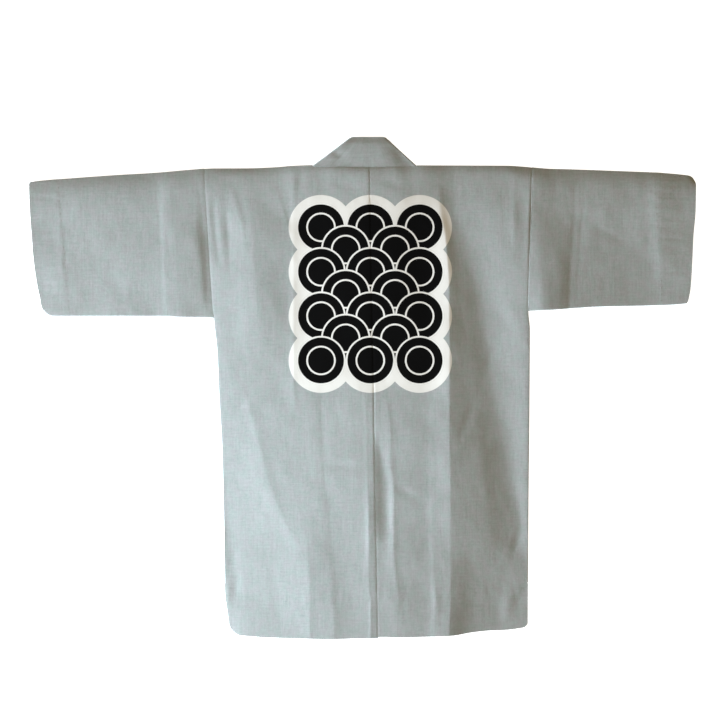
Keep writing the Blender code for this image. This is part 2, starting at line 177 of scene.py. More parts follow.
# Drape of the back layer: lines from the left side to the right one, along which it is at its highest
# or lowest or bends. Each has a share of how sharp its bend is and rows of y, x and height.
BODY_DRAPE = (
    ("left dent", 0.0, (
        (395, -264, 5.1), (350, -262, 4.85), (296, -258, 4.15), (241, -250, 4), (132, -250, 3.63),
        (23, -245, 4.05), (-32, -238, 3.95), (-86, -229, 3.75), (-195, -229, 3.75), (-250, -229, 3.45),
        (-305, -229, 3.2), (-359, -229, 3.4), (-414, -229, 3.6),
    )),
    ("left swell", 0.0, (
        (395, -242, 5.1), (350, -240, 4.95), (296, -236, 4.75), (187, -228, 4.5), (78, -222, 4.25),
        (-32, -205, 4.25), (-86, -195, 4.35), (-141, -195, 4.3), (-195, -195, 4.25), (-250, -180, 4.05),
        (-305, -180, 3.6), (-414, -180, 3.6), (-468, -180, 3.7),
    )),
    ("left crease", 0.4, (
        (395, -224, 5.1), (350, -219, 5.1), (296, -213.5, 5.3), (241, -209.6, 5.1), (187, -205.7, 4.95),
        (132, -199.9, 4.72), (78, -192, 4.45), (23, -180, 4.3), (-32, -145, 4.35), (-86, -118, 4.45),
        (-141, -112, 4.5), (-195, -125.8, 4.65), (-250, -121.9, 4.7), (-305, -106, 4.75),
        (-359, -102, 4.85), (-414, -96.5, 4.75), (-468, -98, 4.65),
    )),
    ("left trough", 0.0, (
        (395, -158, 4.1), (350, -158.9, 3.95), (296, -121.9, 4.3), (241, -112, 3.8), (187, -112, 3.4),
        (132, -112, 3.45), (78, -108, 3.9), (23, -95, 4.35), (-32, -65, 4.55), (-86, -55, 4.9),
        (-141, -50, 5.1), (-195, -62, 4.95), (-250, -51.7, 4.7), (-305, -40, 4.5), (-359, -28, 4.7),
        (-468, -28, 4.8),
    )),
    ("seam ridge", 0.3, (
        (430, 4, 4.8), (395, 4, 4.85), (350, 4, 5.25), (78, 6, 4.1), (-32, 16, 4.55), (-86, 18, 4.9),
        (-141, 19, 5.1), (-195, 20, 5.2), (-250, 20, 5.05), (-305, 20, 4.95), (-359, 20, 4.95),
        (-414, 20, 5.15), (-468, 20, 5.15),
    )),
    ("seam trough", 0.0, (
        (430, 24, 4.75), (395, 24, 4.8), (350, 24, 5.15), (78, 26, 3.95), (-32, 32, 4.45), (-86, 32, 4.8),
        (-141, 38, 4.3), (-195, 44, 4.15), (-250, 46, 3.88), (-305, 46, 4.5), (-359, 36, 4.8),
        (-414, 36, 5.05), (-468, 36, 5.1),
    )),
    ("seam shelf", 0.2, (
        (430, 58, 4.8), (395, 58, 4.85), (350, 58, 5.2), (78, 58, 4.3), (-32, 60, 4.55), (-86, 56, 4.95),
        (-141, 56, 4.6), (-195, 63, 4.6), (-250, 62, 4.45), (-305, 62, 4.8), (-359, 64, 4.9),
        (-414, 66, 5.2), (-468, 66, 5.2),
    )),
    ("right flat", 0.0, (
        (430, 112, 4.8), (395, 112, 4.85), (350, 112, 5.1), (296, 118, 4.7), (187, 122, 4.3),
        (78, 124, 4.5), (23, 124, 4.2), (-32, 124, 4.45), (-86, 124, 4.85), (-141, 123, 4.6),
        (-195, 122, 4.45), (-305, 124, 4.55), (-359, 124, 4.95), (-414, 124, 5.1), (-468, 124, 5.15),
    )),
    ("right crease", 0.9, (
        (395, 153, 4.3), (350, 152, 5), (296, 160.9, 5.3), (241, 166, 5.4), (187, 168.7, 5.4),
        (132, 168.7, 5.4), (78, 169.5, 5.5), (23, 169, 5.5), (-32, 169, 5.4), (-86, 169, 5.7),
        (-141, 170, 5.75), (-195, 171, 5.6), (-250, 171, 5.4), (-305, 171.5, 5.1), (-359, 172, 5.2),
        (-414, 171, 5.45), (-468, 169, 5.95),
    )),
    ("right slope", 0.0, (
        (395, 168, 3.95), (350, 167, 4.3), (296, 178, 4.15), (241, 190, 3.8), (187, 195, 3.8),
        (132, 200, 3.45), (78, 208, 3.45), (23, 213, 3.4), (-32, 219, 3.05), (-86, 221, 3.55),
        (-141, 225, 4), (-195, 235, 3.85), (-250, 238, 3.9), (-305, 236, 3.8), (-359, 225, 3.6),
        (-414, 220, 3.6), (-468, 212, 4.2),
    )),
    ("right valley", 0.0, (
        (395, 180, 3.7), (350, 183, 3.95), (296, 198, 3.65), (241, 212, 3.1), (187, 229.1, 2.4),
        (132, 238.9, 2), (78, 246.7, 1.9), (23, 256, 1.7), (-32, 264, 1.57), (-86, 276, 1.62),
        (-141, 284, 1.7), (-195, 292, 1.6), (-250, 303, 1.8), (-305, 308, 2.1), (-359, 300, 2.6),
        (-414, 285, 2.65), (-468, 275, 3.4),
    )),
)  # fmt: skip
SIDE_DRAPE = {  # y, height of the back layer beside the side seam and armhole
    "left": (
        (395, 5.15), (350, 4.68), (296, 3.7), (241, 3.1), (187, 2.75), (132, 2.7), (78, 3.3), (23, 3.4),
        (-32, 3.3), (-86, 2.9), (-195, 2.8), (-305, 2.7), (-359, 3.1), (-414, 3.3), (-468, 3.2),
    ),
    "right": (
        (395, 5.4), (350, 5.45), (296, 5.5), (241, 5.5), (187, 5.1), (132, 4.6), (78, 4.4), (23, 4.1),
        (-32, 3.6), (-86, 3.4), (-141, 3), (-195, 2.7), (-250, 2.4), (-359, 2.5), (-414, 2.75),
        (-468, 3.55),
    ),
}  # fmt: skip
SLEEVE_DRAPE = {  # as the body's, from cuff to armhole on the left and from armhole to cuff on the right
    "left": (
        ("cuff", 0.0, ((350, -640, 4.4), (296, -638, 3.8), (241, -636, 3.6), (187, -632, 2.9))),
        ("cuff hem", 0.0, ((350, -598, 4.8), (296, -592, 4.1), (241, -588, 4.2), (187, -582, 3.65))),
        ("cuff side", 0.0, ((350, -551, 5), (296, -551, 4.35), (241, -551, 4.2), (187, -551, 3.65))),
        ("swell", 0.0, ((350, -482, 5.2), (296, -482, 5), (241, -470, 4.6), (187, -450, 4.05))),
        ("crease", 0.3, (
            (420, -406, 4.8), (350, -404, 4.95), (296, -402, 4.9), (241, -400, 4.7), (187, -398, 4.1),
        )),
        ("inner swell", 0.0, ((350, -370, 5.35), (296, -362, 5.2), (241, -364, 4.9), (187, -366, 4.25))),
        ("inner fall", 0.0, (
            (350, -322, 5.15), (296, -327, 4.95), (241, -319, 4.4), (187, -314, 3.65), (150, -310, 3),
        )),
    ),
    "right": (
        ("armhole crest", 0.0, ((350, 340, 5.4), (296, 341, 5.75), (241, 347, 5.9), (187, 353, 6.05))),
        ("crest side", 0.0, ((350, 375, 5), (296, 374, 5.2), (241, 377, 5.5), (187, 378, 5.6))),
        ("crease", 0.7, (
            (420, 416, 4.75), (350, 412, 4.75), (296, 410, 4.5), (241, 406, 4.6), (187, 403, 4.7),
        )),
        ("foot", 0.0, ((350, 434, 4.7), (296, 434, 4.1), (241, 432, 4.1), (187, 431, 4.4))),
        ("flat", 0.0, ((350, 502, 4.9), (296, 502, 4), (241, 502, 3.85), (187, 502, 4))),
        ("cuff trough", 0.0, ((350, 548, 4.9), (296, 550, 4), (241, 553, 3.7), (187, 556, 3.5))),
        ("cuff hem", 0.4, ((350, 578, 5.3), (296, 580, 4.45), (241, 584, 4.25), (187, 588, 3.7))),
        ("cuff", 0.0, ((350, 622, 4.95), (296, 622, 4.2), (241, 620, 4.4), (187, 616, 3.9))),
    ),
}  # fmt: skip

# Finer creases. Each has a power, 1 for a sharp crest and 2 for a round one, its width to the left and to
# the right, and rows of y, x and height, with other widths where they change. Its height is 0 beyond the
# first and last row.
CREASES = (
    ("pressed, upper left", 1, (9, 12), (
        (430, -134, 0.15), (200, -134, 0.3), (5, -134, 0.35, 10, 14), (-60, -131, 0),
    )),
    ("diagonal, left", 1, (20, 12), (
        (0, -236, 0, 16, 12), (-32, -223, 0.28, 18, 12), (-219, -170, 0.42, 22, 12), (-336, -112, 0.07),
        (-350, -106, 0),
    )),
    ("pressed, lower left", 1, (10, 8), (
        (-290, -108, 0, 8, 6), (-340, -105, 0.18, 10, 6), (-420, -103, 0.24), (-490, -104, 0.24),
    )),
    ("left of centre", 1, (9, 28), (
        (10, -82, 0, 9, 20), (-32, -79, -0.35, 9, 24), (-87, -77, -0.3), (-142, -74, -0.25),
        (-196, -71, -0.25, 8, 28), (-251, -64, -0.2, 6, 25), (-306, -60, -0.28, 10, 30),
        (-360, -52, -0.25, 13, 30), (-415, -44, -0.1, 12, 30), (-450, -40, 0, 12, 30),
    )),
    ("seam allowance", 1, (5, 12), (
        (-130, 9, 0), (-150, 9, 0.08), (-196, 10.5, 0.25), (-250, 11.5, 0.6), (-306, 12.5, 0.55, 6, 12),
        (-360, 11.5, 0.35, 7, 12), (-400, 13, 0.25, 5, 10), (-415, 16, 0.32, 4, 6),
        (-490, 16, 0.28, 4, 6),
    )),
    ("right of centre", 1, (8, 6), (
        (10, 44, 0, 14, 6), (-33, 48, 0.16, 14, 7), (-87, 55, 0.26, 14, 7), (-142, 54, 0.16, 10, 8),
        (-195, 60, 0.3, 8, 7), (-305, 60, 0.32, 8, 7), (-360, 64, 0.28), (-415, 69, 0.14, 10, 5),
        (-440, 68, 0.04), (-490, 68, 0.04),
    )),
    ("beside right crease", 1, (7, 30), (
        (40, 132, 0, 6, 12), (-120, 136, 0.1, 7, 12), (-250, 137, 0.14, 7, 18), (-305, 137, 0.26, 6, 28),
        (-360, 139, 0.25, 7, 20), (-415, 142, 0.5, 6, 14), (-468, 141, 0.3), (-495, 141, 0.3),
    )),
    ("armhole dent, outer", 2, (5, 5), (
        (380, -292, 0), (350, -290, -0.25), (310, -287, -0.3), (270, -283, -0.25), (230, -280, 0),
    )),
    ("armhole dent, inner", 2, (7, 6), (
        (355, -266, 0), (325, -264, -0.35), (270, -260, -0.3), (210, -258, 0),
    )),
    ("armhole ridge", 1, (12, 6), (
        (395, -258, 0), (376, -252, 0.3), (327, -238, 0.35), (280, -230, 0.2, 14, 8),
        (250, -226, 0, 14, 8),
    )),
    ("below the shoulder", 1, (18, 5), (
        (392, -172, 0), (376, -165, 0.22), (317, -146, 0.22), (296, -140, 0),
    )),
    ("sleeve crease, left", 1, (8, 18), (
        (424, -396, 0.08, 8, 16), (350, -391, 0.18), (240, -388, 0.22), (187, -386, 0.2),
        (136, -382, 0.1),
    )),
    ("sleeve crease, right", 1, (14, 7), (
        (430, 418, -0.05, 12, 8), (385, 416, -0.15, 14, 6), (336, 413, -0.22), (296, 411, -0.25),
        (241, 407, -0.3), (187, 404, -0.3), (150, 401, -0.1, 12, 8),
    )),
    ("cuff hem, right", 1, (7, 18), (
        (420, 567, 0.02, 7, 16), (300, 575, 0.06), (180, 582, 0.12), (160, 583, 0.05),
    )),
    ("cuff hem, left", 1, (10, 4), (
        (405, -597, 0.08), (365, -594, 0.12), (307, -588.5, 0.13), (240, -584, 0.18), (190, -579.5, 0.13),
        (142, -573, 0.08),
    )),
    ("sleeve fold line, left", 1, (3, 3), (
        (424, -397, -0.05), (356, -395, -0.15), (187, -389, -0.15), (136, -387, -0.05),
    )),
    ("allowance stitches", 1, (3, 6), (
        (0, 5, 0), (-33, 6, 0.1), (-87, 8, 0.1), (-142, 8, 0.06), (-190, 8, 0),
    )),
    ("pressed line, upper right", 1, (20, 4), (
        (318, 150, 0), (350, 150, 0.1), (390, 149, 0.14), (425, 148, 0.12),
    )),
    ("hump, lower", 1, (32, 16), (
        (-330, -66, 0, 25, 14), (-360, -62, 0.2, 28, 14), (-415, -58, 0.5, 30, 16), (-468, -56, 0.55),
        (-495, -56, 0.55),
    )),
    ("small ridge, right", 1, (3, 4), (
        (-395, 88, 0), (-412, 88, 0.14), (-425, 88, 0.1), (-450, 86, 0),
    )),
    ("armhole trough, left", 1, (9, 5), (
        (392, -317, 0, 10, 5), (354, -313, -0.22, 10, 5), (326, -312, -0.3, 12, 5),
        (296, -309, -0.35, 12, 5), (240, -305, -0.42), (209, -303, -0.4), (178, -301, -0.3),
        (150, -299, -0.12),
    )),
    ("upper right swell", 2, (45, 60), (
        (430, 245, 0.3), (385, 245, 0.6), (354, 256, 0.8, 50, 60), (326, 264, 0.8, 50, 55),
        (296, 272, 0.7, 50, 50), (268, 280, 0.6, 45, 45), (240, 288, 0.4, 40, 40),
        (209, 292, 0.35, 40, 35), (178, 293, 0.4, 42, 35), (147, 298, 0.3, 30, 35),
        (112, 308, 0.3, 32, 30), (60, 310, 0, 30, 30),
    )),
    ("beside right armhole", 1, (8, 8), (
        (430, 297, 0.05), (385, 296, 0.2), (336, 295, 0.3), (287, 295, 0.25, 8, 9), (250, 294, 0, 8, 9),
    )),
    ("right armhole allowance", 1, (5, 2.5), (
        (400, 326, 0), (385, 325, 0.12), (336, 323.5, 0.24), (287, 322, 0.18), (238, 319.5, 0.1),
        (205, 319, 0),
    )),
    ("sleeve pressed line, right", 1, (7, 2.5), (
        (428, 435, -0.02), (385, 432, -0.1), (336, 429, -0.12), (287, 425, -0.12), (238, 421, -0.12),
        (190, 418, -0.1), (160, 416, -0.03),
    )),
    ("left flare", 1, (4, 10), (
        (-300, -262, 0), (-340, -262, 0.15), (-400, -261, 0.25), (-430, -260, 0.2), (-455, -258, 0),
    )),
    ("pressed line at the neck, left", 1, (30, 5), (
        (340, -134, 0), (365, -134, 0.14), (400, -134, 0.2), (430, -134, 0.2),
    )),
    ("second line at the neck, left", 1, (20, 16), (
        (360, -91, 0, 25, 7), (385, -91, 0.16), (430, -91, 0.22),
    )),
    ("fall to the centre", 1, (110, 90), (
        (330, -118, 0), (395, -118, 0.9), (430, -118, 0.9),
    )),
)  # fmt: skip

# Dents and pinches: x, y, depth, half length, half width, and the turn of the length in degrees
DENTS = (
    (-36, -152, 0.5, 30, 9, 4), (-160, -318, 0.25, 34, 10, 20), (88, -206, 0.2, 30, 9, -35),
    (250, 60, 0.2, 26, 9, 62), (-252, -330, 0.3, 20, 8, 70), (-248, -392, 0.45, 24, 9, 80),
    (300, -300, 0.3, 26, 8, 75), (285, -420, -0.35, 30, 12, 80), (100, 400, 0.1, 26, 8, 8),
    (-120, 404, 0.3, 16, 7, 80), (60, 398, 0.18, 32, 7, -12), (-40, 396, 0.2, 28, 8, -8),
    (-470, 250, 0.2, 34, 10, 30), (480, 300, 0.18, 30, 9, -28), (-240, -40, 0.25, 20, 8, 40),
    (205, -60, 0.2, 34, 8, 68), (-60, -4, 0.55, 45, 22, 0), (100, -4, 0.6, 55, 22, 0),
    (20, -310, 0.2, 24, 8, 20), (-20, 90, 0.2, 34, 10, 30),
)  # fmt: skip

# Crumple of the whole cloth: root mean square height and wavelength of each family of waves, how many
# waves, and the seeds of their directions
CRUMPLE = ((0.08, 130.0, 14), (0.03, 48.0, 26), (0.010, 19.0, 40))
CRUMPLE_SEED = {"back": 7, "front": 21, "collar": 5}
WAVE_HEIGHT = 1.4  # of one wave whose root mean square is 1

# Low swells of the front layer: height of one where the crumple is FRONT_CRUMPLE, at most twice that, and
# how far from the fold they start
FRONT_SWELL, FRONT_CRUMPLE, FOLD_REACH = 0.25, 0.12, 25

# Waves along a line of hem stitches and along a cuff's hem: height, length and phase of each, and of the
# wave about UNEVEN by which they grow and fade along the line
PUCKER_WAVES, PUCKER_CHANGE = ((0.05, 23, 0), (0.04, 37, 1.3)), (0.4, 71, 0.4)
CUFF_WAVES, CUFF_CHANGE = ((0.06, 21, 0), (0.04, 13, 2)), (0.4, 83, 1)
UNEVEN = 0.6
PUCKER_REACH = 9  # how far the waves reach from the stitches
DIMPLE, DIMPLE_REACH = 0.12, 3  # depth of the cloth at a stitch, and how far it reaches
STITCH_HALF, STITCH_RADIUS = 1.1, 0.26  # half length and radius of a stitch

# Places of the pieces on the flat cloth, across and along it, so that no two share a stretch of its weave
GRAIN = {
    "left": (0, 0), "right": (0, 700), "front": (1500, 0), "sleeve": (300, 1900), "under": (0, 4200),
    "collar": (3000, 0),
}  # fmt: skip

# The back print: a pile of wave scales. Rows alternate between three scales and two.
PRINT_CENTRE = (15.2, 182.9)
SCALE_RADIUS = 48.0
SCALE_RISE = 43.2  # from one row of scales to the next
SCALE_ROWS = 7
SCALE_RINGS = (48.0, 27.0)  # radii of the white lines of one scale
SCALE_LINE = 3.4
PRINT_BORDER = 15.0
PRINT_EDGE = 0.25  # half width of the change from ink to cloth
PRINT_ABOVE = 1.6  # the layer above this height is printed

# The cotton, in metres: sizes of the cells of its noises, across and along the cloth
WANDER_CELL = (0.006, 0.006, 1.0)
WEFT_CELL, WARP_CELL = (0.034, 0.0022, 1.0), (0.0026, 0.048, 1.0)
MOTTLE_CELL, BROAD_CELL, HUE_CELL = (0.0048, 0.0048, 1.0), (0.16, 0.16, 1.0), (0.013, 0.016, 1.0)
WEAVE_SHADE = 0.07  # how much paler a warp yarn is than the mean
NOISE_SHADES = (0.28, 0.3, 0.29, 0.12)  # change of shade over the weft, warp, mottle and broad noises

# The stage, in metres
FLOOR_Z, FLOOR_RADIUS, FLOOR_SIDES = -0.0006, 60.0, 96
CAMERA_PLACE = (-0.0049, 0.0542, 3.2)
CAMERA_VIEW = 1.404  # side of the square that it sees
SENSOR = 36.0


def column(rows, k):
    """Pairs of the first value and value k of each row."""
    return [(row[0], row[k]) for row in rows]


def read(table, key):
    """Value at key on the broken line through the rows (key, value) of a table."""
    keys, values = np.array(sorted(table), dtype=float).T
    return np.interp(key, keys, values)


def bend_through(keys, values, sharp, at):
    """Smooth curve through points: between neighbours a cubic, whose slope at a point is the harmonic
    mean of the slopes on its two sides, or 0 at a crest or valley. A sharp point keeps that share of its
    own side's slope. keys and values have the points along their last axis, and at has the places asked
    for."""
    step = np.diff(keys, axis=-1)
    side = np.diff(values, axis=-1) / step
    left, right = side[..., :-1], side[..., 1:]
    both = left * right
    middle = np.where(both > 0, 2 * both / np.where(both > 0, left + right, 1), 0)
    slope = np.concatenate([side[..., :1], middle, side[..., -1:]], axis=-1)
    shape = at.shape + (keys.shape[-1],)
    keys, values, slope, sharp = (np.broadcast_to(v, shape) for v in (keys, values, slope, sharp))
    cell = np.clip((at[..., None] >= keys).sum(-1) - 1, 0, keys.shape[-1] - 2)[..., None]
    low_x, high_x, low_z, high_z, low_slope, high_slope, low_sharp, high_sharp = (
        np.take_along_axis(v, cell + k, -1)[..., 0]
        for v in (keys, values, slope, sharp)
        for k in (0, 1)
    )
    width = high_x - low_x
    chord = (high_z - low_z) / width
    low_slope = low_slope + low_sharp * (chord - low_slope)
    high_slope = high_slope + high_sharp * (chord - high_slope)
    t = np.clip((at - low_x) / width, 0, 1)
    ends = low_z * (1 + 2 * t) * (1 - t) ** 2 + high_z * t * t * (3 - 2 * t)
    return ends + width * (low_slope * t * (1 - t) ** 2 - high_slope * t * t * (1 - t))


def follow(table, key):
    """Value at key on the smooth curve through the rows (key, value) of a table, held beyond its ends."""
    keys, values = np.array(sorted(table), dtype=float).T
    key = np.asarray(key, dtype=float)
    return bend_through(keys, values, 0.0, np.clip(key, keys[0], keys[-1]))


def smooth_step(low, high, value):
    """0 below low, 1 above high and an even S between them."""
    t = np.clip((value - low) / (high - low), 0, 1)
    return t * t * (3 - 2 * t)


def bell(away, width, power=2):
    """1 in the middle, with an even fall beside it: exp(-(away / width) ** power)."""
    return np.exp(-((away / width) ** power))


def drape(lines, x, y):
    """Height at x, y: at that y each line has a place and a height, and a smooth curve goes through
    them."""
    places, heights = (
        np.stack([follow(column(rows, k), y) for _, _, rows in lines], axis=-1) for k in (1, 2)
    )
    sharp = np.array([line[1] for line in lines])
    return bend_through(places, heights, sharp, np.clip(x, places[..., 0], places[..., -1]))


def edge_line(side):
    """The side seam and armhole as a line of the drape."""
    return "side", 0.0, [(y, float(follow(SIDES[side], y)), z) for y, z in SIDE_DRAPE[side]]


def creases(x, y):
    """Sum of the finer creases: for each, its height times a bell of its width. Sharp crests are eased
    over 1.5 mm."""
    ease = 1.5
    total = np.zeros(np.broadcast(x, y).shape)
    for _, power, widths, rows in CREASES:
        full = sorted((*row, *widths)[:5] for row in rows)
        at, line, height, left, right = np.array(full, dtype=float).T
        away = x - follow(list(zip(at, line)), y)
        width = np.where(away < 0, np.interp(y, at, left), np.interp(y, at, right))
        reach = np.sqrt(away**2 + ease**2) - ease if power == 1 else np.abs(away)
        total += np.interp(y, at, height, left=0, right=0) * bell(reach, width, power)
    return total


def dents(x, y):
    """Sum of the dents: each is -depth * exp(-(along / length) ** 2 - (across / width) ** 2)."""
    total = np.zeros(np.broadcast(x, y).shape)
    for at_x, at_y, depth, length, width, turn in DENTS:
        c, s = math.cos(math.radians(turn)), math.sin(math.radians(turn))
        along = (x - at_x) * c + (y - at_y) * s
        across = (y - at_y) * c - (x - at_x) * s
        total -= depth * bell(along, length) * bell(across, width)
    return total


def crumple(x, y, seed):
    """Sum of plane waves in seeded directions: height * sin(2 pi (x cos a + y sin a) / length +
    phase)."""
    rng = np.random.default_rng(seed)
    total = np.zeros(np.broadcast(x, y).shape)
    for height, length, waves in CRUMPLE:
        for _ in range(waves):
            turn, phase = rng.uniform(0, 2 * math.pi, 2)
            spread = length * rng.uniform(0.7, 1.5)
            along = x * math.cos(turn) + y * math.sin(turn)
            wave = np.sin(2 * math.pi * along / spread + phase)
            total += height / math.sqrt(waves) * WAVE_HEIGHT * wave
    return total


def ripples(along, *waves):
    """Waves along a line: the sum of height * sin(2 pi along / length + phase)."""
    return sum(height * np.sin(2 * math.pi * along / length + phase) for height, length, phase in waves)


def puckers(along, away, spacing):
    """Gathers at a line of stitches: waves along it, which fade away from it, and at each stitch a
    dimple, the fourth power of a cosine's crests along the line, which fades sooner."""
    waves = ripples(along, *PUCKER_WAVES) * bell(away, PUCKER_REACH)
    pulls = DIMPLE * np.clip(np.cos(2 * math.pi * along / spacing), 0, 1) ** 4
    return (waves - pulls * bell(away, DIMPLE_REACH)) * (UNEVEN + ripples(along, PUCKER_CHANGE))


def gathers(along, away, depth):
    """Ripples of a sewn hem: waves along it, which go as a half sine from the stitches to the edge, depth
    away."""
    waves = ripples(along, *CUFF_WAVES) * (UNEVEN + ripples(along, CUFF_CHANGE))
    return waves * np.sin(math.pi * np.clip(-away / depth, 0, 1))


def groove(away, before, after):
    """Cloth that turns down into a seam: -depth * bell, with the (depth, width) in before on one side of
    the seam and in after on the other."""
    depth, width = (np.where(away < 0, *pair) for pair in zip(before, after))
    return -depth * bell(away, width)


def edge_rise(height, depth, start, edge, even=False):
    """Height near a folded or sewn edge: it goes from start to height, for a share of the way as (1 + d /
    2) exp(-d) dies out, or 1 - tanh(1.2 d) where the cloth turns evenly, with d = depth / width, and for
    the rest as exp(-depth / slow) does."""
    share, width, slow = edge
    d = depth / width
    left = 1 - np.tanh(1.2 * d) if even else (1 + d / 2) * np.exp(-d)
    return height - (height - start) * (share * left + (1 - share) * np.exp(-depth / slow))


def seam_fall(depth, drop, width):
    """Fall of the cloth towards a seam that it turns under at: drop * exp(-depth / width)."""
    return drop * np.exp(-depth / width)


def stations(low, high, coarse, spots):
    """Places from low to high, coarse apart and closer near spots, each with its place, reach and
    spacing, and two more, EDGE_STEP in from the ends."""
    fine = np.linspace(low, high, 6001)
    density = np.full_like(fine, 1 / coarse)
    for place, reach, spacing in spots:
        density = np.maximum(density, 1 / spacing * bell(fine - place, reach))
    count = np.concatenate([[0], np.cumsum((density[1:] + density[:-1]) / 2 * np.diff(fine))])
    steps = max(int(round(count[-1])), 1)
    places = np.interp(np.linspace(0, count[-1], steps + 1), count, fine)
    return np.sort(np.append(places, (low + EDGE_STEP, high - EDGE_STEP)))


def round_corner(x, y, corner, across, along, radius):
    """Rounds the corner at a pair x, y: the square of the corner's radius is mapped to a quarter disc."""
    a = np.clip(1 - np.abs(x - corner[0]) / radius, 0, 1)
    b = np.clip(1 - np.abs(y - corner[1]) / radius, 0, 1)
    x = x + across * radius * a * (np.sqrt(1 - b**2 / 2) - 1)
    y = y + along * radius * b * (np.sqrt(1 - a**2 / 2) - 1)
    return x, y


def fold_radius(height, wall):
    """Radius of a fold from a middle surface at height to one that lies on the surface below."""
    return (height - wall / 2) / 2


def arc(start, end, out):
    """Points of a half ellipse from start to end that bulges by out, without its two ends."""
    middle, half = (start + end) / 2, (start - end) / 2
    turns = np.pi * np.arange(1, FOLD_STEPS) / FOLD_STEPS
    return [middle + half * math.cos(t) + np.asarray(out, float) * math.sin(t) for t in turns]


def add_object(name, data):
    """An object of data, in the scene."""
    made = bpy.data.objects.new(name, data)
    bpy.context.scene.collection.objects.link(made)
    return made


def quads_of(ids):
    """The corners of the quads between neighbours in a matrix of ids."""
    corners = (ids[:-1, :-1], ids[:-1, 1:], ids[1:, 1:], ids[1:, :-1])
    return np.stack(corners, axis=-1).reshape(-1, 4)


class Cloth:
    """A middle surface, gathered as grids of points that are joined by their ids. Every point also has
    its place on the flat cloth and its distance from the line of hem stitches."""

    def __init__(self, turned):
        self.turned = turned
        self.points = []
        self.grain = []
        self.hem = []
        self.count = 0
        self.quads = []

    def add(self, points, grain, hem):
        """Adds an array of points, shape (..., 3), with its places on the flat cloth (..., 2) and its
        distances above the line of hem stitches (...), all in millimetres, and returns their ids in that
        shape."""
        shape = points.shape[:-1]
        size = int(np.prod(shape))
        self.points.append(points.reshape(-1, 3))
        self.grain.append(np.broadcast_to(grain, shape + (2,)).reshape(-1, 2))
        self.hem.append(np.broadcast_to(hem, shape).reshape(-1))
        ids = np.arange(size).reshape(shape) + self.count
        self.count += size
        return ids

    def join(self, ids):
        """Adds the quads between neighbours in a matrix of ids, turned over where the cloth is."""
        quads = quads_of(ids)
        self.quads.append(quads[:, [0, 3, 2, 1]] if self.turned else quads)

    def make(self, name, wall, hem_wall, materials):
        """Makes the object, with the flat places as attribute grain and a wall that is wall thick, and
        hem_wall thick where the hem doubles it."""
        points, grain, hem = (np.concatenate(parts) for parts in (self.points, self.grain, self.hem))
        mesh = bpy.data.meshes.new(name)
        mesh.from_pydata(points * MM, [], np.concatenate(self.quads).tolist())
        grain = np.c_[grain * MM, np.zeros(len(grain))].astype(np.float32)
        mesh.attributes.new("grain", "FLOAT_VECTOR", "POINT").data.foreach_set("vector", grain.ravel())
        mesh.shade_smooth()
        edges = np.zeros(len(mesh.loops), dtype=np.int32)
        mesh.loops.foreach_get("edge_index", edges)
        rim = np.bincount(edges, minlength=len(mesh.edges)) == 1
        mesh.edges.foreach_set("use_edge_sharp", rim)
        for material in materials:
            mesh.materials.append(material)
        made = add_object(name, mesh)
        solid = made.modifiers.new("Wall", "SOLIDIFY")
        solid.thickness = hem_wall
        solid.offset = 0
        solid.use_even_offset = False
        solid.use_quality_normals = True
        solid.material_offset = len(materials) - 1
        solid.material_offset_rim = 0
        doubled = np.round(hem_share(hem) * 20) / 20
        group = made.vertex_groups.new(name="hem")
        for share in np.unique(doubled):
            group.add(np.flatnonzero(doubled == share).tolist(), float(share), "REPLACE")
        solid.vertex_group = group.name
        solid.thickness_vertex_group = wall / hem_wall
        return made


def hem_share(hem):
    """1 on a hem, where the cloth is doubled, and 0 above its line of stitches, with a step of about 2 mm
    between."""
    return 1 - smooth_step(-1.4, 0.8, hem)


def hem_relief(along, hem_line, sizes):
    """Puckers at a line of hem stitches, and the lower middle of the doubled wall, so that a hem's top
    stays level."""
    doubled = (sizes.hem_cloth - sizes.cloth) / MM / 2 * hem_share(hem_line)
    return puckers(along, hem_line, sizes.stitch / MM) - doubled


def front_layer(x, y, hem_line, sizes, aside, reach, depth):
    """The front layer: it lies on the surface, with low swells that start over reach from its seam, aside
    away, and over FOLD_REACH from its fold, depth away. They are as high as the walls of the two layers
    let them."""
    wall, hem_wall = sizes.cloth / MM, sizes.hem_cloth / MM
    half = (wall + (hem_wall - wall) * hem_share(hem_line)) / 2
    swell = FRONT_SWELL * np.clip(crumple(x, y, CRUMPLE_SEED["front"]) / FRONT_CRUMPLE, 0, 2)
    rise = swell * smooth_step(0, reach, aside) * smooth_step(0, FOLD_REACH, depth)
    room = np.maximum(back_height(x, y) - 1.5 * wall - LAYER_GAP, 0)
    return np.stack([x, y, half + np.minimum(rise, room)], axis=-1)


def body_rows(side, sizes):
    """Nominal y of the rows of a body cloth, hem to shoulder: closer at the edge, the hem's stitches, the
    underarm, the fold and the turn before it."""
    spots = (
        (HEM_START, 3, 0.5), (HEM_START + sizes.hem_depth / MM, 5, 1.1), (UNDERARM[side], 6, 2.0),
        (SHOULDER_LINE, 4, 0.7), (SHOULDER_LINE - 12, 14, 2.2),
    )  # fmt: skip
    rows = stations(HEM_START, SHOULDER_LINE, sizes.spacing / MM, spots)
    for place in (SLIT, UNDERARM[side]):
        rows[np.argmin(np.abs(rows - place))] = place
    return rows


def fit_rows(side, rows, hem, top):
    """Bends the nominal rows so that the first follows the hem and the last the top edge."""
    start = UNDERARM[side] + 8
    low = np.clip((SLIT - rows) / (SLIT - rows[0]), 0, 1)[:, None]
    high = np.clip((rows - start) / (rows[-1] - start), 0, 1)[:, None]
    return rows[:, None] + low * (hem - rows[0]) + high * (top - rows[-1])


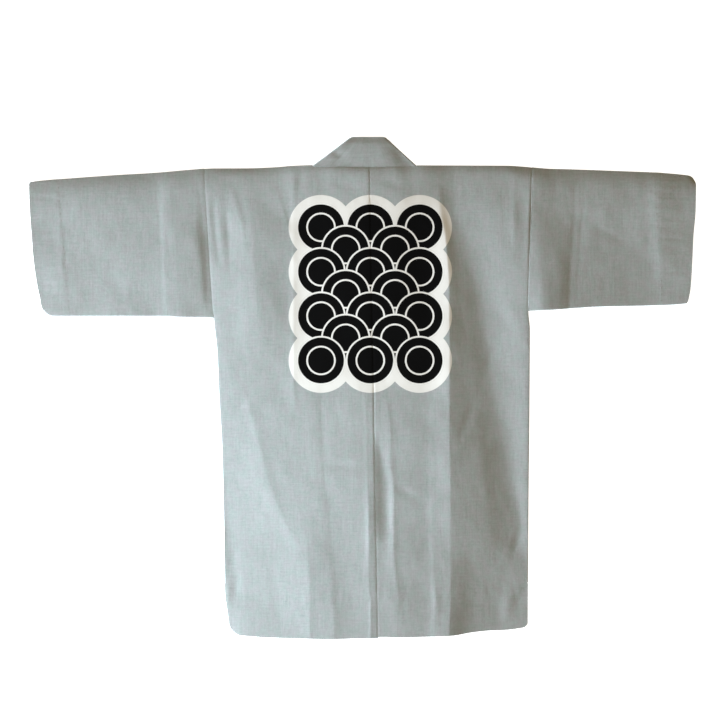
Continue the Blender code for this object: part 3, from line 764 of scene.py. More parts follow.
def side_inset(side, y, wall):
    """How far the middle surface stays inside the outline at the side: the turn of the closed seam."""
    closed = 1 - smooth_step(UNDERARM[side] - 1, UNDERARM[side] + 3, y)
    closed = closed * smooth_step(SLIT - 4, SLIT + 1, y)
    return closed * (wall / 2 + SEAM_BULGE)


def body_columns(side, y, shares, neck_share, wall):
    """x at rows y of the columns at shares of the way from the side to the centre seam. The share
    neck_share lies on the line down from the neck point."""
    out = OUTWARD[side]
    start = follow(SIDES[side], y) - out * side_inset(side, y, wall)
    neck = read(NECKS[side], y)
    end = read(CENTRE, y) + out * SEAM_GAP / 2
    near = start + (neck - start) * np.clip(shares / neck_share, 0, 1)
    far = (end - neck) * np.clip((shares - neck_share) / (1 - neck_share), 0, 1)
    return near + far


def band_edge(side, y):
    """x of the sewn edge of a front band at y."""
    half = BAND_WIDTH + read(column(FRONT_BAND, 1), y) * (NECK_HALF[side] - BAND_WIDTH)
    return read(CENTRE, y) + OUTWARD[side] * half


def back_height(x, y):
    """Settled height of the back layer anywhere on the coat: drape, finer creases, dents and crumple."""
    left, right = edge_line("left"), edge_line("right")
    body = drape((left, *BODY_DRAPE, right), x, y)
    sleeve_left = drape((*SLEEVE_DRAPE["left"], left), x, y)
    sleeve_right = drape((right, *SLEEVE_DRAPE["right"]), x, y)
    height = np.where(x < follow(SIDES["left"], y), sleeve_left, body)
    height = np.where(x > follow(SIDES["right"], y), sleeve_right, height)
    return height + creases(x, y) + dents(x, y) + crumple(x, y, CRUMPLE_SEED["back"])


def armhole_groove(x, y):
    """Cloth that turns down into the two armhole seams, above the underarms."""
    total = np.zeros(np.broadcast(x, y).shape)
    for side in SIDES:
        above = smooth_step(UNDERARM[side], UNDERARM[side] + 12, y)
        total += above * groove(x - follow(SIDES[side], y), *ARMHOLE_GROOVE[side])
    return total


def body_back(side, x, y, depth, aside, neck_part):
    """Height of a body's back layer: the settled height, rolled over at the shoulder and under at the
    side seam, and turned down into the centre seam and, where neck_part is 1, into the neck seam. Beside
    the armhole it rolls over as the sleeve does."""
    height = back_height(x, y)
    rise, reach = NECK_POINT_RISE
    shoulder = SHOULDER_Z + rise * bell(x - NECKS[side][-1][1], reach)
    z = edge_rise(height, depth, shoulder, SLEEVE_EDGE)
    turned = edge_rise(height, depth, shoulder, BODY_EDGE, even=True)
    z = z + smooth_step(0, ARMHOLE_BLEND, aside) * (turned - z)
    neck = edge_rise(height, depth, NECK_SEAM_Z, NECK_EDGE, even=True) - seam_fall(depth, *NECK_TURN)
    z = z + neck_part * (neck - z)
    closed = np.clip((UNDERARM[side] + 30 - y) / 30, 0, 1) * smooth_step(SLIT - 20, SLIT + 6, y)
    drops, width = SIDE_DROP[side]
    z = z - closed * seam_fall(aside, read(drops, y), width)
    turns = zip((read(LEFT_GROOVE, y), read(RIGHT_GROOVE, y)), SEAM_WIDTH)
    return z + groove(x - read(CENTRE, y), *turns) + armhole_groove(x, y)


def make_body(side, sizes, materials):
    """A body cloth: back layer, over the shoulder, front layer, closed at the side seam."""
    out, wall, depth = OUTWARD[side], sizes.cloth / MM, sizes.hem_depth / MM
    rows = body_rows(side, sizes)
    start, middle, neck = follow(SIDES[side], 0.0), read(CENTRE, 0.0), read(NECKS[side], 0.0)
    width = float(abs(middle - start))
    spots = [(0, 7, 1.0), (width, 4, 0.6)]
    spots += [(abs(place - start), reach, 1.4) for place, reach in FINE_COLUMNS[side]]
    aways = stations(0, width, sizes.spacing / MM, spots)
    shares = aways / aways[-1]
    at_neck = int(np.argmin(np.abs(aways - abs(neck - start))))
    to_neck = slice(at_neck + 1)
    neck_share = shares[at_neck]

    nominal = body_columns(side, rows[:, None], shares, neck_share, wall)
    radius = fold_radius(SHOULDER_Z, wall)
    top = follow(SHOULDER, nominal[-1]) - radius - wall / 2
    inner = nominal[-1, at_neck:] - read(CENTRE, NECK_SEAM_Y)
    sewn = NECK_SEAM_Y + NECK_SEAM_RISE * np.abs(inner) / NECK_HALF[side] - SEAM_GAP / 2
    top[at_neck:] += (sewn - top[at_neck:]) * smooth_step(0, 5, np.abs(inner - inner[0]))

    hem = follow(HEM, nominal[0])
    y = fit_rows(side, rows, hem, top)
    x = body_columns(side, y, shares, neck_share, wall)
    neck_part = smooth_step(0, NECK_BLEND, np.maximum(aways - aways[at_neck], 0))
    hem_line = y - hem - depth
    z = body_back(side, x, y, top - y, np.abs(x - x[:, :1]), neck_part)
    z = z + hem_relief(x, hem_line, sizes)
    z[:, -1] += SEAM_TILT * out
    grain = np.stack([x, y], axis=-1) + GRAIN[side]
    corner = (x[:1, :1], y[:1, :1])
    x, y = round_corner(x, y, corner, out, -1, HEM_CORNER[side])
    back = np.stack([x, y, z], axis=-1)

    sides = follow(SIDES[side], rows) - out * side_inset(side, rows, wall)
    edge = band_edge(side, rows) + out * SEAM_GAP / 2
    edge[-1] = nominal[-1, at_neck]
    x = sides[:, None] + shares[to_neck] / neck_share * (edge - sides)[:, None]
    front_hem = follow(HEM, x[0])
    y = fit_rows(side, rows, front_hem, top[to_neck])
    front_line = y - front_hem - depth
    front_grain = np.stack([x, 2 * top[to_neck] - y], axis=-1) + GRAIN["front"] + GRAIN[side]
    x, y = round_corner(x, y, corner, out, -1, HEM_CORNER[side])
    front = front_layer(x, y, front_line, sizes, np.abs(x - x[:, :1]), 30, top[to_neck] - y)
    front[:, 0, :2] = back[:, 0, :2]

    cloth = Cloth(out > 0)
    back_ids = cloth.add(back, grain, hem_line)
    front_ids = cloth.add(front, front_grain, front_line)
    folded = arc(back[-1, to_neck], front[-1], (0, radius, 0))
    over = [cloth.add(p, grain[-1, to_neck], NO_HEM) for p in folded]
    cloth.join(np.array([*back_ids[:, to_neck], *over, *front_ids[::-1]]))
    cloth.join(back_ids[:, at_neck:])

    closed = (rows >= SLIT) & (rows <= UNDERARM[side])
    turned = arc(back[closed, 0], front[closed, 0], (out * SEAM_BULGE, 0, 0))
    seam = [cloth.add(p, grain[closed, 0], hem_line[closed, 0]) for p in turned]
    strip = np.array([back_ids[closed, 0], *seam, front_ids[closed, 0]])
    cloth.join(strip.T[:, ::-1])
    return cloth.make(f"body_{side}", sizes.cloth, sizes.hem_cloth, materials)


def make_sleeve(side, sizes, materials):
    """A sleeve: a flat tube, folded at the top, closed underneath and open at armhole and cuff."""
    plan, out, wall = SLEEVES[side], OUTWARD[side], sizes.cloth / MM
    middle = read(plan["under"], -out) + SLEEVE_MIDDLE
    start, end = follow(SIDES[side], middle), follow(plan["cuff"], middle)
    width = float(abs(end - start))
    # Closer columns at the armhole, the hem's stitches, the cuff and the first crease
    spots = ((0, 4, 0.6), (width - 62, 6, 1.2), (width, 3, 0.5), (76, 6, 2.0))
    shares = stations(0, width, sizes.spacing / MM, spots) / width
    # Closer rows at the two edges and where the cloth turns over to the fold
    spots = ((0, 6, 1.0), (SLEEVE_HEIGHT, 5, 0.7), (SLEEVE_HEIGHT - 12, 14, 2.2))
    rows = stations(0, SLEEVE_HEIGHT, sizes.spacing / MM, spots)[:, None] / SLEEVE_HEIGHT
    radius = fold_radius(SHOULDER_Z, wall)
    nominal = start + (end - start) * shares
    low = follow(plan["under"], nominal) + wall / 2 + SEAM_BULGE
    high = follow(SHOULDER, nominal) - wall / 2 - radius
    y = low + (high - low) * rows
    start = follow(SIDES[side], y) + out * SEAM_GAP / 2
    x = start + (follow(plan["cuff"], y) - start) * shares

    z = edge_rise(back_height(x, y), high - y, SHOULDER_Z, SLEEVE_EDGE)
    z = z - seam_fall(y - low, UNDERARM_DROP, UNDERARM_WIDTH) + armhole_groove(x, y)
    hem_line = out * (read(plan["hem"], y) - x)
    z = z + hem_relief(y, hem_line, sizes) + gathers(y + 40 * out, hem_line, CUFF_HEM)
    grain = np.stack([x, y], axis=-1) + np.multiply(GRAIN["sleeve"], (out, 1))
    x, y = round_corner(x, y, (x[:1, -1:], y[:1, -1:]), out, -1, plan["low_corner"])
    x, y = round_corner(x, y, (x[-1:, -1:], y[-1:, -1:]), out, 1, plan["top_corner"])
    back = np.stack([x, y, z], axis=-1)
    front = front_layer(x, y, hem_line, sizes, y - low, 25, high - y)

    cloth = Cloth(out < 0)
    back_ids = cloth.add(back, grain, hem_line)
    front_ids = cloth.add(front, grain * [1, -1] + GRAIN["under"], hem_line)
    over, under = (
        [cloth.add(p, grain[row], hem_line[row]) for p in arc(first[row], then[row], (0, bulge, 0))]
        for row, first, then, bulge in ((-1, back, front, radius), (0, front, back, -SEAM_BULGE))
    )
    cloth.join(np.array([*back_ids, *over, *front_ids[::-1], *under, back_ids[0]]))
    return cloth.make(f"sleeve_{side}", sizes.cloth, sizes.hem_cloth, materials)


def collar_sections(side, steps, across, wall):
    """One half of the band, as points across its width: its standing part, from the centre back in steps
    to the neck point, its front band down to the hem, and the way in which the turn between them stands
    out."""
    out = OUTWARD[side]
    spots = ((HEM_START, 3, 0.5), (400, 60, 2.4), (434, 12, 1.5))
    sewn_y = stations(HEM_START, NECK_SEAM_Y + NECK_SEAM_RISE, 5.0, spots)[::-1]
    sewn_x = band_edge(side, sewn_y) - out * SEAM_GAP / 2
    hem_y = follow(HEM, sewn_x[-1:])[0]
    share = np.clip((SLIT - sewn_y) / (SLIT - sewn_y[-1]), 0, 1)
    sewn_y = sewn_y + share * (hem_y - HEM_START)
    sewn_x[0] = read(CENTRE, NECK_SEAM_Y) + out * NECK_HALF[side]
    away, below = (follow(column(FRONT_BAND, k), sewn_y) for k in (2, 3))
    free_y = sewn_y - below
    free_x = read(CENTRE, free_y) + out * away + OVERLAP * smooth_step(160, 60, free_y)
    corner_x = read(CENTRE, BAND_TOP_Y) + out * BAND_TOP_HALF[side]
    corner = np.array([corner_x, BAND_TOP_Y - BAND_TOP_SAG])
    sewn = np.stack([sewn_x, sewn_y], axis=-1)
    free = np.stack([free_x, free_y], axis=-1)
    line = corner - sewn[0]
    outward = np.array([-line[1], line[0]]) / np.linalg.norm(line)
    outward *= math.copysign(1, outward[0] * out)
    free[0] = corner - outward * (fold_radius(NECK_Z, wall) + wall / 2)
    front = sewn[:, None] + (free - sewn)[:, None] * across[:, None]

    shares = (np.arange(steps) / steps)[:, None]
    middle_sewn, middle_free = (np.array([read(CENTRE, y), y]) for y in (NECK_SEAM_Y, BAND_TOP_Y))
    low = middle_sewn + (sewn[0] - middle_sewn) * shares
    high = middle_free + (free[0] - middle_free) * shares
    high[:, 1] = middle_free[1] + (free[0, 1] - middle_free[1]) * shares[:, 0] ** 24
    back = low[:, None] + (high - low)[:, None] * across[:, None]
    return back, front, outward


def make_collar(sizes, materials):
    """The band: up one front, turned over at the neck point, across the back of the neck and down
    again."""
    wall = sizes.band / MM
    across = stations(0, BAND_WIDTH, 3.2, ((0, 4, 0.6), (BAND_WIDTH, 4, 0.6))) / BAND_WIDTH
    halves = []
    for side in SIDES:
        back, front, outward = collar_sections(side, 34, across, wall)
        top = np.concatenate([back, front[:1]])
        lifted = np.append(top, np.full(top.shape[:-1] + (1,), NECK_Z), axis=-1)
        lifted[..., 2] += collar_relief(lifted[..., 0], lifted[..., 1], across)
        flat = np.append(front, np.full(front.shape[:-1] + (1,), wall / 2), axis=-1)
        bend = arc(lifted[-1], flat[0], (*outward * fold_radius(NECK_Z, wall), 0))
        halves.append(np.concatenate([lifted, bend, flat]))
    sections = np.concatenate([halves[0][::-1], halves[1][1:]])
    middle = sections[:, len(across) // 2]
    along = np.concatenate([[0], np.cumsum(np.linalg.norm(np.diff(middle, axis=0), axis=-1))])
    grain = np.stack(np.broadcast_arrays(across * BAND_WIDTH, along[:, None]), axis=-1) + GRAIN["collar"]
    cloth = Cloth(True)
    cloth.join(cloth.add(sections, grain, NO_HEM))
    return cloth.make("collar", sizes.band, sizes.band, materials)


def collar_relief(x, y, across):
    """Relief of the standing part of the band: a swell between its edges that falls to the free one, the
    rise at the neck seam, its dents and its crumple."""
    relief = BAND_SWELL * np.sin(np.pi * np.clip(across, 0, 1)) - BAND_FALL * smooth_step(0.75, 1.0, across)
    relief = relief + seam_fall(across * BAND_WIDTH, *BAND_LIP)
    for at_x, at_y, depth, width, height, lean in BAND_DENTS:
        relief = relief - depth * bell(x - at_x - lean * (y - at_y), width) * bell(y - at_y, height)
    return relief + crumple(x, y, CRUMPLE_SEED["collar"])


def hem_places(side, sizes):
    """Top of the cloth at each stitch of the hem of the back layer."""
    spacing, out = sizes.stitch / MM, OUTWARD[side]
    x = np.arange(-165, 170) * spacing
    y = follow(HEM, x) + sizes.hem_depth / MM
    aside = out * (follow(SIDES[side], y) - x)
    inside = (aside > 5) & (out * (x - read(CENTRE, y)) > 3)
    x, y, aside = x[inside], y[inside], aside[inside]
    z = body_back(side, x, y, BELOW_FOLD, aside, 0.0)
    z = z + puckers(x, 0.0, spacing) + sizes.cloth / MM / 2
    return np.stack([x, y, z], axis=-1)


def cuff_places(side, sizes):
    """Top of the cloth at each stitch of a cuff's hem."""
    spacing, plan = sizes.stitch / MM, SLEEVES[side]
    y = np.arange(math.ceil(150 / spacing), math.floor(412 / spacing)) * spacing
    x = read(plan["hem"], y)
    top = follow(SHOULDER, x) - SHOULDER_Z / 2
    low = follow(plan["under"], x)
    inside = (y > low + 4) & (y < top - 6)
    x, y, top, low = x[inside], y[inside], top[inside], low[inside]
    z = edge_rise(back_height(x, y), top - y, SHOULDER_Z, SLEEVE_EDGE)
    z = z - seam_fall(y - low, UNDERARM_DROP, UNDERARM_WIDTH)
    z = z + puckers(y, 0.0, spacing) + sizes.cloth / MM / 2
    return np.stack([x, y, z], axis=-1)


def make_stitches(name, places, turn, material):
    """Short stitches at places, turned by turn: each is a spindle of rings, whose radius goes as the root
    of sin(t) along its length."""
    rings, sides = 7, 6
    t = np.linspace(0.05, 0.95, rings)[:, None] * math.pi
    a = np.arange(sides) * 2 * math.pi / sides
    along = -STITCH_HALF * np.cos(t) * np.ones(sides)
    radius = STITCH_RADIUS * np.sin(t) ** 0.5
    shape = np.stack([along, radius * np.cos(a), radius * np.sin(a)], axis=-1).reshape(-1, 3)
    c, s = math.cos(turn), math.sin(turn)
    shape = shape @ np.array([[c, s, 0], [-s, c, 0], [0, 0, 1]])
    points = (places[:, None] + shape).reshape(-1, 3) * MM
    ids = np.arange(rings * sides).reshape(rings, sides)
    quads = quads_of(np.concatenate([ids, ids[:, :1]], axis=1))
    starts = np.arange(len(places))[:, None, None] * rings * sides
    faces = (quads + starts).reshape(-1, 4).tolist()
    ends = np.stack([ids[0][::-1], ids[-1]])
    faces += (ends + starts).reshape(-1, sides).tolist()
    mesh = bpy.data.meshes.new(name)
    mesh.from_pydata(points, [], faces)
    mesh.shade_smooth()
    mesh.materials.append(material)
    return add_object(name, mesh)


class Finish:
    """Short words for the nodes of one material."""

    def __init__(self, name):
        self.material = bpy.data.materials.new(name)
        self.material.use_nodes = True
        self.tree = self.material.node_tree
        self.shader = self.tree.nodes["Principled BSDF"]

    def give(self, socket, value):
        """Links an output to a socket, or sets a plain value on it."""
        if isinstance(value, bpy.types.NodeSocket):
            self.tree.links.new(value, socket)
        else:
            socket.default_value = value

    def shade(self, **values):
        """Gives the shader's inputs, which are named with _ for a space, their values."""
        for key, value in values.items():
            self.give(self.shader.inputs[key.replace("_", " ")], value)

    def node(self, kind, settings, *inputs):
        """Adds a node, sets its settings, and gives its inputs in order a number, a colour or an
        output."""
        made = self.tree.nodes.new(kind)
        for key, value in settings.items():
            setattr(made, key, value)
        for socket, value in zip([s for s in made.inputs if s.enabled], inputs):
            self.give(socket, value)
        return made

    def place(self, kind, output, **settings):
        """The output of a node that has a place or a value of the point."""
        return self.node(kind, settings).outputs[output]

    def calc(self, kind, *values):
        """The output of one Math node."""
        return self.node("ShaderNodeMath", {"operation": kind}, *values).outputs[0]

    def hold(self, value, low, high):
        """The value, held between low and high."""
        return self.calc("MINIMUM", self.calc("MAXIMUM", value, low), high)

    def step(self, value, low, high):
        """0 below low and 1 above high, with an even S between them."""
        settings = {"interpolation_type": "SMOOTHSTEP"}
        return self.node("ShaderNodeMapRange", settings, value, low, high, 0.0, 1.0).outputs[0]

    def noise(self, place, stretch, detail=2.0, rough=0.5):
        """Noise at place, whose cells have the sizes in stretch."""
        scaled = self.node("ShaderNodeVectorMath", {"operation": "DIVIDE"}, place, stretch).outputs[0]
        made = self.node("ShaderNodeTexNoise", {}, scaled)
        for key, value in (("Scale", 1.0), ("Detail", detail), ("Roughness", rough)):
            made.inputs[key].default_value = value
        return made.outputs[0]

    def mix(self, share, first, second):
        """Colour between first and second."""
        made = self.node("ShaderNodeMix", {"data_type": "RGBA"})
        for index, value in ((0, share), (6, first), (7, second)):
            self.give(made.inputs[index], value)
        return made.outputs[2]

    def scale(self, colour, factor):
        """Colour times a factor."""
        made = self.node("ShaderNodeVectorMath", {"operation": "SCALE"}, colour)
        self.give(made.inputs["Scale"], factor)
        return made.outputs[0]


def weave(finish, place, pitch):
    """Plain weave of yarns pitch apart: sin(pi u / pitch) sin(pi v / pitch) is positive where a warp yarn
    is on top. Yarns wander a little. Returns that product and the slub noises of weft and warp."""
    wander = finish.noise(place, WANDER_CELL, 1.0)
    shift = finish.calc("MULTIPLY", finish.calc("SUBTRACT", wander, 0.5), pitch * 0.5)
    parts = finish.node("ShaderNodeSeparateXYZ", {}, place)
    turn_u, turn_v = (
        finish.calc("SINE", finish.calc("MULTIPLY", finish.calc("ADD", part, shift), math.pi / pitch))
        for part in parts.outputs[:2]
    )
    weft = finish.noise(place, WEFT_CELL, 2.0, 0.6)
    warp = finish.noise(place, WARP_CELL, 2.0, 0.6)
    return finish.calc("MULTIPLY", turn_u, turn_v), weft, warp


def cotton(name, sizes, colours, printed):
    """Slubbed cotton: pale warp and darker weft, thick and thin yarns, broad unevenness from washing,
    weave and slubs in the bump. A printed cotton also has the back print on its upper layer."""
    finish = Finish(name)
    place = finish.place("ShaderNodeAttribute", "Vector", attribute_name="grain")
    over, weft, warp = weave(finish, place, sizes.yarn)
    mottle = finish.noise(place, MOTTLE_CELL, 2.0, 0.6)
    broad = finish.noise(place, BROAD_CELL)
    factor = finish.calc("MULTIPLY_ADD", over, WEAVE_SHADE, 1.0)
    for noise, shade in zip((weft, warp, mottle, broad), NOISE_SHADES):
        factor = finish.calc("MULTIPLY_ADD", finish.calc("SUBTRACT", noise, 0.5), shade, factor)
    hue = finish.step(finish.noise(place, HUE_CELL), 0.35, 0.65)
    tone = finish.scale(finish.mix(hue, (*colours.cotton, 1), (*colours.tint, 1)), factor)

    height = finish.calc("MULTIPLY", finish.calc("ABSOLUTE", over), 0.5)
    height = finish.calc("MULTIPLY_ADD", weft, 1.3, height)
    height = finish.calc("MULTIPLY_ADD", warp, 0.9, height)
    rough = finish.calc("MULTIPLY_ADD", finish.calc("SUBTRACT", mottle, 0.5), 0.2, 0.86)
    if printed:
        ink, white = print_shares(finish)
        pale = finish.scale(colours.ground, finish.calc("MULTIPLY_ADD", weft, 0.05, 0.975))
        dark = finish.scale(colours.ink, finish.calc("MULTIPLY_ADD", weft, 0.5, 0.75))
        tone = finish.mix(ink, finish.mix(white, tone, pale), dark)
        covered = finish.calc("MAXIMUM", white, ink)
        rough = finish.calc("MULTIPLY_ADD", covered, -0.16, rough)
        height = finish.calc("MULTIPLY", height, finish.calc("MULTIPLY_ADD", covered, -0.45, 1.0))
        height = finish.calc("MULTIPLY_ADD", covered, 1.2, height)
    bump = finish.node("ShaderNodeBump", {})
    for key, value in (("Strength", 1.0), ("Distance", sizes.bump), ("Height", height)):
        finish.give(bump.inputs[key], value)
    finish.shade(Base_Color=tone, Roughness=rough, Specular_IOR_Level=0.05, Normal=bump.outputs[0])
    return finish.material


def print_shares(finish):
    """Shares of black and of white ink at a point of the coat. The scales' centres lie on a lattice: rows
    SCALE_RISE apart, with three scales in even rows and two, half a scale along, in odd ones. At a point,
    the row below, the nearest row and the row above give a distance to their nearest centre. The lowest
    of them whose scale holds the point is in front of the others, and its distance decides where the
    white lines run."""
    parts = finish.node("ShaderNodeSeparateXYZ", {}, finish.place("ShaderNodeTexCoord", "Object"))
    x, y = (finish.calc("SUBTRACT", parts.outputs[k], PRINT_CENTRE[k] * MM) for k in (0, 1))
    radius, rise = SCALE_RADIUS * MM, SCALE_RISE * MM
    last = (SCALE_ROWS - 1) / 2
    nearest_row = finish.calc("ROUND", finish.calc("DIVIDE", y, rise))
    distances = []
    for offset in (-1.0, 0.0, 1.0):
        row = finish.hold(finish.calc("ADD", nearest_row, offset), -last, last)
        odd = finish.calc("PINGPONG", finish.calc("ADD", row, last), 1.0)
        half = finish.calc("MULTIPLY_ADD", odd, -radius, 2 * radius)
        shift = finish.calc("MULTIPLY", odd, radius)
        along = finish.calc("DIVIDE", finish.calc("SUBTRACT", x, shift), 2 * radius)
        centre = finish.calc("MULTIPLY_ADD", finish.calc("ROUND", along), 2 * radius, shift)
        centre = finish.hold(centre, finish.calc("MULTIPLY", half, -1.0), half)
        dx = finish.calc("SUBTRACT", x, centre)
        dy = finish.calc("SUBTRACT", y, finish.calc("MULTIPLY", row, rise))
        squares = finish.calc("MULTIPLY_ADD", dx, dx, finish.calc("MULTIPLY", dy, dy))
        distances.append(finish.calc("SQRT", squares))
    seen = distances[2]
    for distance in (distances[1], distances[0]):
        holds = finish.calc("LESS_THAN", distance, radius)
        seen = finish.node("ShaderNodeMix", {"data_type": "FLOAT"}, holds, seen, distance).outputs[0]
    nearest = finish.calc("MINIMUM", finish.calc("MINIMUM", *distances[:2]), distances[2])

    def beyond(distance, edge):
        return finish.step(distance, edge - PRINT_EDGE * MM, edge + PRINT_EDGE * MM)

    line = SCALE_LINE * MM / 2
    outer, inner = (
        finish.calc("ABSOLUTE", finish.calc("SUBTRACT", seen, ring))
        for ring in (SCALE_RINGS[0] * MM - line, SCALE_RINGS[1] * MM)
    )
    clear = beyond(finish.calc("MINIMUM", outer, inner), line)
    inside = finish.calc("SUBTRACT", 1.0, beyond(nearest, radius))
    within = finish.calc("SUBTRACT", 1.0, beyond(nearest, radius + PRINT_BORDER * MM))
    upper = finish.calc("GREATER_THAN", parts.outputs[2], PRINT_ABOVE * MM)
    ink = finish.calc("MULTIPLY", finish.calc("MULTIPLY", clear, inside), upper)
    return ink, finish.calc("MULTIPLY", within, upper)


def thread(name, colour):
    """Sewing thread, whose shade changes in fine bands of noise."""
    finish = Finish(name)
    place = finish.place("ShaderNodeTexCoord", "Object")
    bands = finish.noise(place, (0.0004, 0.0002, 0.0004), 1.0)
    tone = finish.scale(colour, finish.calc("MULTIPLY_ADD", bands, 0.5, 0.75))
    finish.shade(Base_Color=tone, Roughness=0.6)
    return finish.material


def plain(name, colour, roughness, glow):
    """Even matt finish, with some white light of its own."""
    finish = Finish(name)
    white = (1, 1, 1, 1)
    finish.shade(Base_Color=(*colour, 1), Roughness=roughness, Emission_Color=white, Emission_Strength=glow)
    return finish.material


class CoatSizes(bpy.types.PropertyGroup):
    """Sizes that a user would change."""

    cloth: FloatProperty(
        name="Cloth", description="Thickness of the cloth", default=0.001, unit="LENGTH"
    )
    hem_cloth: FloatProperty(
        name="Hem", description="Thickness of a hem, of doubled cloth", default=0.0016, unit="LENGTH"
    )
    band: FloatProperty(
        name="Collar band", description="Thickness of the folded collar band", default=0.0014, unit="LENGTH"
    )
    hem_depth: FloatProperty(
        name="Hem depth", description="From the lower edge to the stitches", default=0.076, unit="LENGTH"
    )
    yarn: FloatProperty(
        name="Yarn pitch", description="From one yarn to the next", default=0.0009, unit="LENGTH"
    )
    bump: FloatProperty(
        name="Weave depth", description="Relief of the yarns", default=0.00005, unit="LENGTH"
    )
    stitch: FloatProperty(
        name="Stitch spacing", description="From one hem stitch to the next", default=0.013, unit="LENGTH"
    )
    spacing: FloatProperty(
        name="Mesh spacing", description="Between points of the cloth", default=0.0037, unit="LENGTH"
    )


class CoatColours(bpy.types.PropertyGroup):
    """Colours that a user would change."""

    cotton: FloatVectorProperty(
        name="Cotton", description="Grey-green of the cloth",
        default=(0.336, 0.382, 0.380), subtype="COLOR", min=0, max=1,
    )  # fmt: skip
    tint: FloatVectorProperty(
        name="Cotton tint", description="Second shade of the cloth",
        default=(0.361, 0.377, 0.390), subtype="COLOR", min=0, max=1,
    )  # fmt: skip
    ink: FloatVectorProperty(
        name="Ink", description="Black of the back print",
        default=(0.0022, 0.0022, 0.0024), subtype="COLOR", min=0, max=1,
    )  # fmt: skip
    ground: FloatVectorProperty(
        name="Print ground", description="White of the back print",
        default=(0.765, 0.765, 0.745), subtype="COLOR", min=0, max=1,
    )  # fmt: skip
    thread: FloatVectorProperty(
        name="Thread", description="Sewing thread",
        default=(0.26, 0.285, 0.28), subtype="COLOR", min=0, max=1,
    )  # fmt: skip
    floor: FloatVectorProperty(
        name="Floor", description="Pale floor under the coat",
        default=(0.9, 0.9, 0.9), subtype="COLOR", min=0, max=1,
    )  # fmt: skip


def settle(piece, node):
    """Puts a sheet of cloth under the root body and hides the imported part, node, that it stands for."""
    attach(piece, "root")
    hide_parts(node)


class COAT_OT_bodies(bpy.types.Operator):
    """Make the two body cloths, with the print across their back layers."""

    bl_idname = "coat.bodies"
    bl_label = "Body cloths"

    def execute(self, context):
        sizes, colours = context.scene.coat_sizes, context.scene.coat_colours
        finishes = (
            cotton("cotton_printed", sizes, colours, True),
            cotton("cotton_inside", sizes, colours, False),
        )
        settle(make_body("left", sizes, finishes), "body_left")
        settle(make_body("right", sizes, finishes), "body_right")
        return {"FINISHED"}


class COAT_OT_sleeves(bpy.types.Operator):
    """Make the two sleeves."""

    bl_idname = "coat.sleeves"
    bl_label = "Sleeves"

    def execute(self, context):
        sizes = context.scene.coat_sizes
        finishes = (cotton("cotton_sleeves", sizes, context.scene.coat_colours, False),)
        settle(make_sleeve("left", sizes, finishes), "sleeve_left")
        settle(make_sleeve("right", sizes, finishes), "sleeve_right")
        return {"FINISHED"}


class COAT_OT_collar(bpy.types.Operator):
    """Make the collar band."""

    bl_idname = "coat.collar"
    bl_label = "Collar band"

    def execute(self, context):
        sizes = context.scene.coat_sizes
        finishes = (cotton("cotton_collar", sizes, context.scene.coat_colours, False),)
        settle(make_collar(sizes, finishes), "collar")
        return {"FINISHED"}


class COAT_OT_stitches(bpy.types.Operator):
    """Make the blind stitches that hold the hem and the cuffs."""

    bl_idname = "coat.stitches"
    bl_label = "Hem stitches"

    def execute(self, context):
        sizes = context.scene.coat_sizes
        finish = thread("thread", context.scene.coat_colours.thread)
        for side in SIDES:
            made = make_stitches(f"hem_stitches_{side}", hem_places(side, sizes), 0.0, finish)
            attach(made, "root")
            made = make_stitches(f"cuff_stitches_{side}", cuff_places(side, sizes), math.pi / 2, finish)
            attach(made, "root")
        return {"FINISHED"}


class COAT_OT_stage(bpy.types.Operator):
    """Make the floor, the lights and the camera."""

    bl_idname = "coat.stage"
    bl_label = "Stage"

    def execute(self, context):
        make_floor(context.scene.coat_colours)
        window = {"shape": "RECTANGLE", "size": 2.9, "size_y": 0.65}
        add_light("key", "AREA", window, (-6.2, -2.08, 0.495), (0, 0, 0), 3860, (0.83, 0.925, 1.02))
        cone = {"spot_size": math.radians(21.5), "spot_blend": 1.0, "shadow_soft_size": 0.25}
        add_light("window", "SPOT", cone, (-0.8, -2.2, 1.8), (-0.355, -0.29, 0), 345, (0.79, 0.92, 1.0))
        make_sky((1.02, 0.79, 0.487), 0.355)
        make_camera()
        return {"FINISHED"}


def make_floor(colours):
    """A disc, a little under the coat, whose rim is the horizon."""
    turns = np.arange(FLOOR_SIDES) * 2 * math.pi / FLOOR_SIDES
    height = np.full(FLOOR_SIDES, FLOOR_Z)
    points = np.stack([FLOOR_RADIUS * np.cos(turns), FLOOR_RADIUS * np.sin(turns), height], axis=-1)
    mesh = bpy.data.meshes.new("floor")
    mesh.from_pydata(points, [], [list(range(FLOOR_SIDES))])
    mesh.materials.append(plain("floor", colours.floor, 0.9, 0.93))
    add_object("floor", mesh)


def add_light(name, kind, shape, place, aim, power, colour):
    """A light of a kind and shape at place, turned to face aim."""
    lamp = bpy.data.lights.new(name, kind)
    lamp.energy, lamp.color = power, colour
    for key, value in shape.items():
        setattr(lamp, key, value)
    made = add_object(name, lamp)
    made.location = place
    x, y, z = (a - p for a, p in zip(aim, made.location))
    made.rotation_euler = (math.atan2(math.hypot(x, y), -z), 0, math.atan2(y, x) - math.pi / 2)


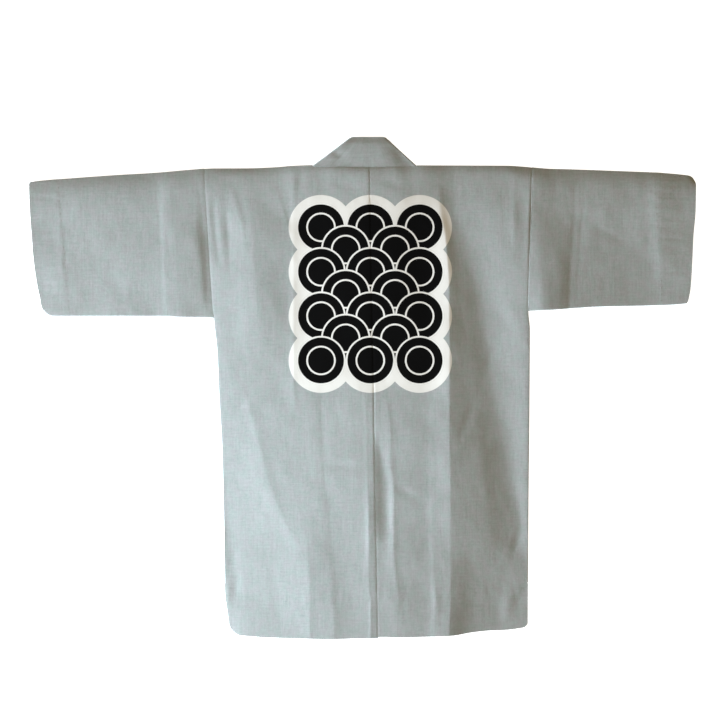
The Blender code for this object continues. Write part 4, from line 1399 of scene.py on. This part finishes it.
def make_sky(colour, strength):
    """Even light from all around, behind a plain white backdrop that begins at the floor's rim."""
    world = bpy.data.worlds.new("sky")
    world.use_nodes = True
    nodes, links = world.node_tree.nodes, world.node_tree.links
    light_all = nodes["Background"]
    light_all.inputs["Color"].default_value = (*colour, 1)
    light_all.inputs["Strength"].default_value = strength
    backdrop = nodes.new("ShaderNodeBackground")
    backdrop.inputs["Color"].default_value = (1, 1, 1, 1)
    choice = nodes.new("ShaderNodeMixShader")
    links.new(nodes.new("ShaderNodeLightPath").outputs["Is Camera Ray"], choice.inputs[0])
    links.new(light_all.outputs[0], choice.inputs[1])
    links.new(backdrop.outputs[0], choice.inputs[2])
    links.new(choice.outputs[0], nodes["World Output"].inputs["Surface"])
    bpy.context.scene.world = world


def make_camera():
    """Straight above the coat, with the collar up."""
    lens = bpy.data.cameras.new("camera")
    lens.sensor_width = SENSOR
    lens.lens = SENSOR * CAMERA_PLACE[2] / CAMERA_VIEW
    made = add_object("camera", lens)
    made.location = CAMERA_PLACE
    bpy.context.scene.camera = made
    bpy.context.scene.view_settings.view_transform = "Standard"


class COAT_PT_panel(bpy.types.Panel):
    """The coat's sizes, colours and makers."""

    bl_idname = "COAT_PT_panel"
    bl_label = "Happi Coat"
    bl_space_type = "VIEW_3D"
    bl_region_type = "UI"
    bl_category = "Happi Coat"

    def draw(self, context):
        for group in (context.scene.coat_sizes, context.scene.coat_colours):
            box = self.layout.box()
            for key in group.__annotations__:
                box.prop(group, key)
        for operator in OPERATORS:
            self.layout.operator(operator.bl_idname)


OPERATORS = (COAT_OT_bodies, COAT_OT_sleeves, COAT_OT_collar, COAT_OT_stitches, COAT_OT_stage)
CLASSES = (CoatSizes, CoatColours, *OPERATORS, COAT_PT_panel)


def register():
    for kind in CLASSES:
        bpy.utils.register_class(kind)
    bpy.types.Scene.coat_sizes = PointerProperty(type=CoatSizes)
    bpy.types.Scene.coat_colours = PointerProperty(type=CoatColours)


def unregister():
    del bpy.types.Scene.coat_colours
    del bpy.types.Scene.coat_sizes
    for kind in reversed(CLASSES):
        bpy.utils.unregister_class(kind)


def main():
    register()
    bpy.ops.coat.bodies()
    bpy.ops.coat.sleeves()
    bpy.ops.coat.collar()
    bpy.ops.coat.stitches()
    bpy.ops.coat.stage()


if __name__ == "__main__":
    main()
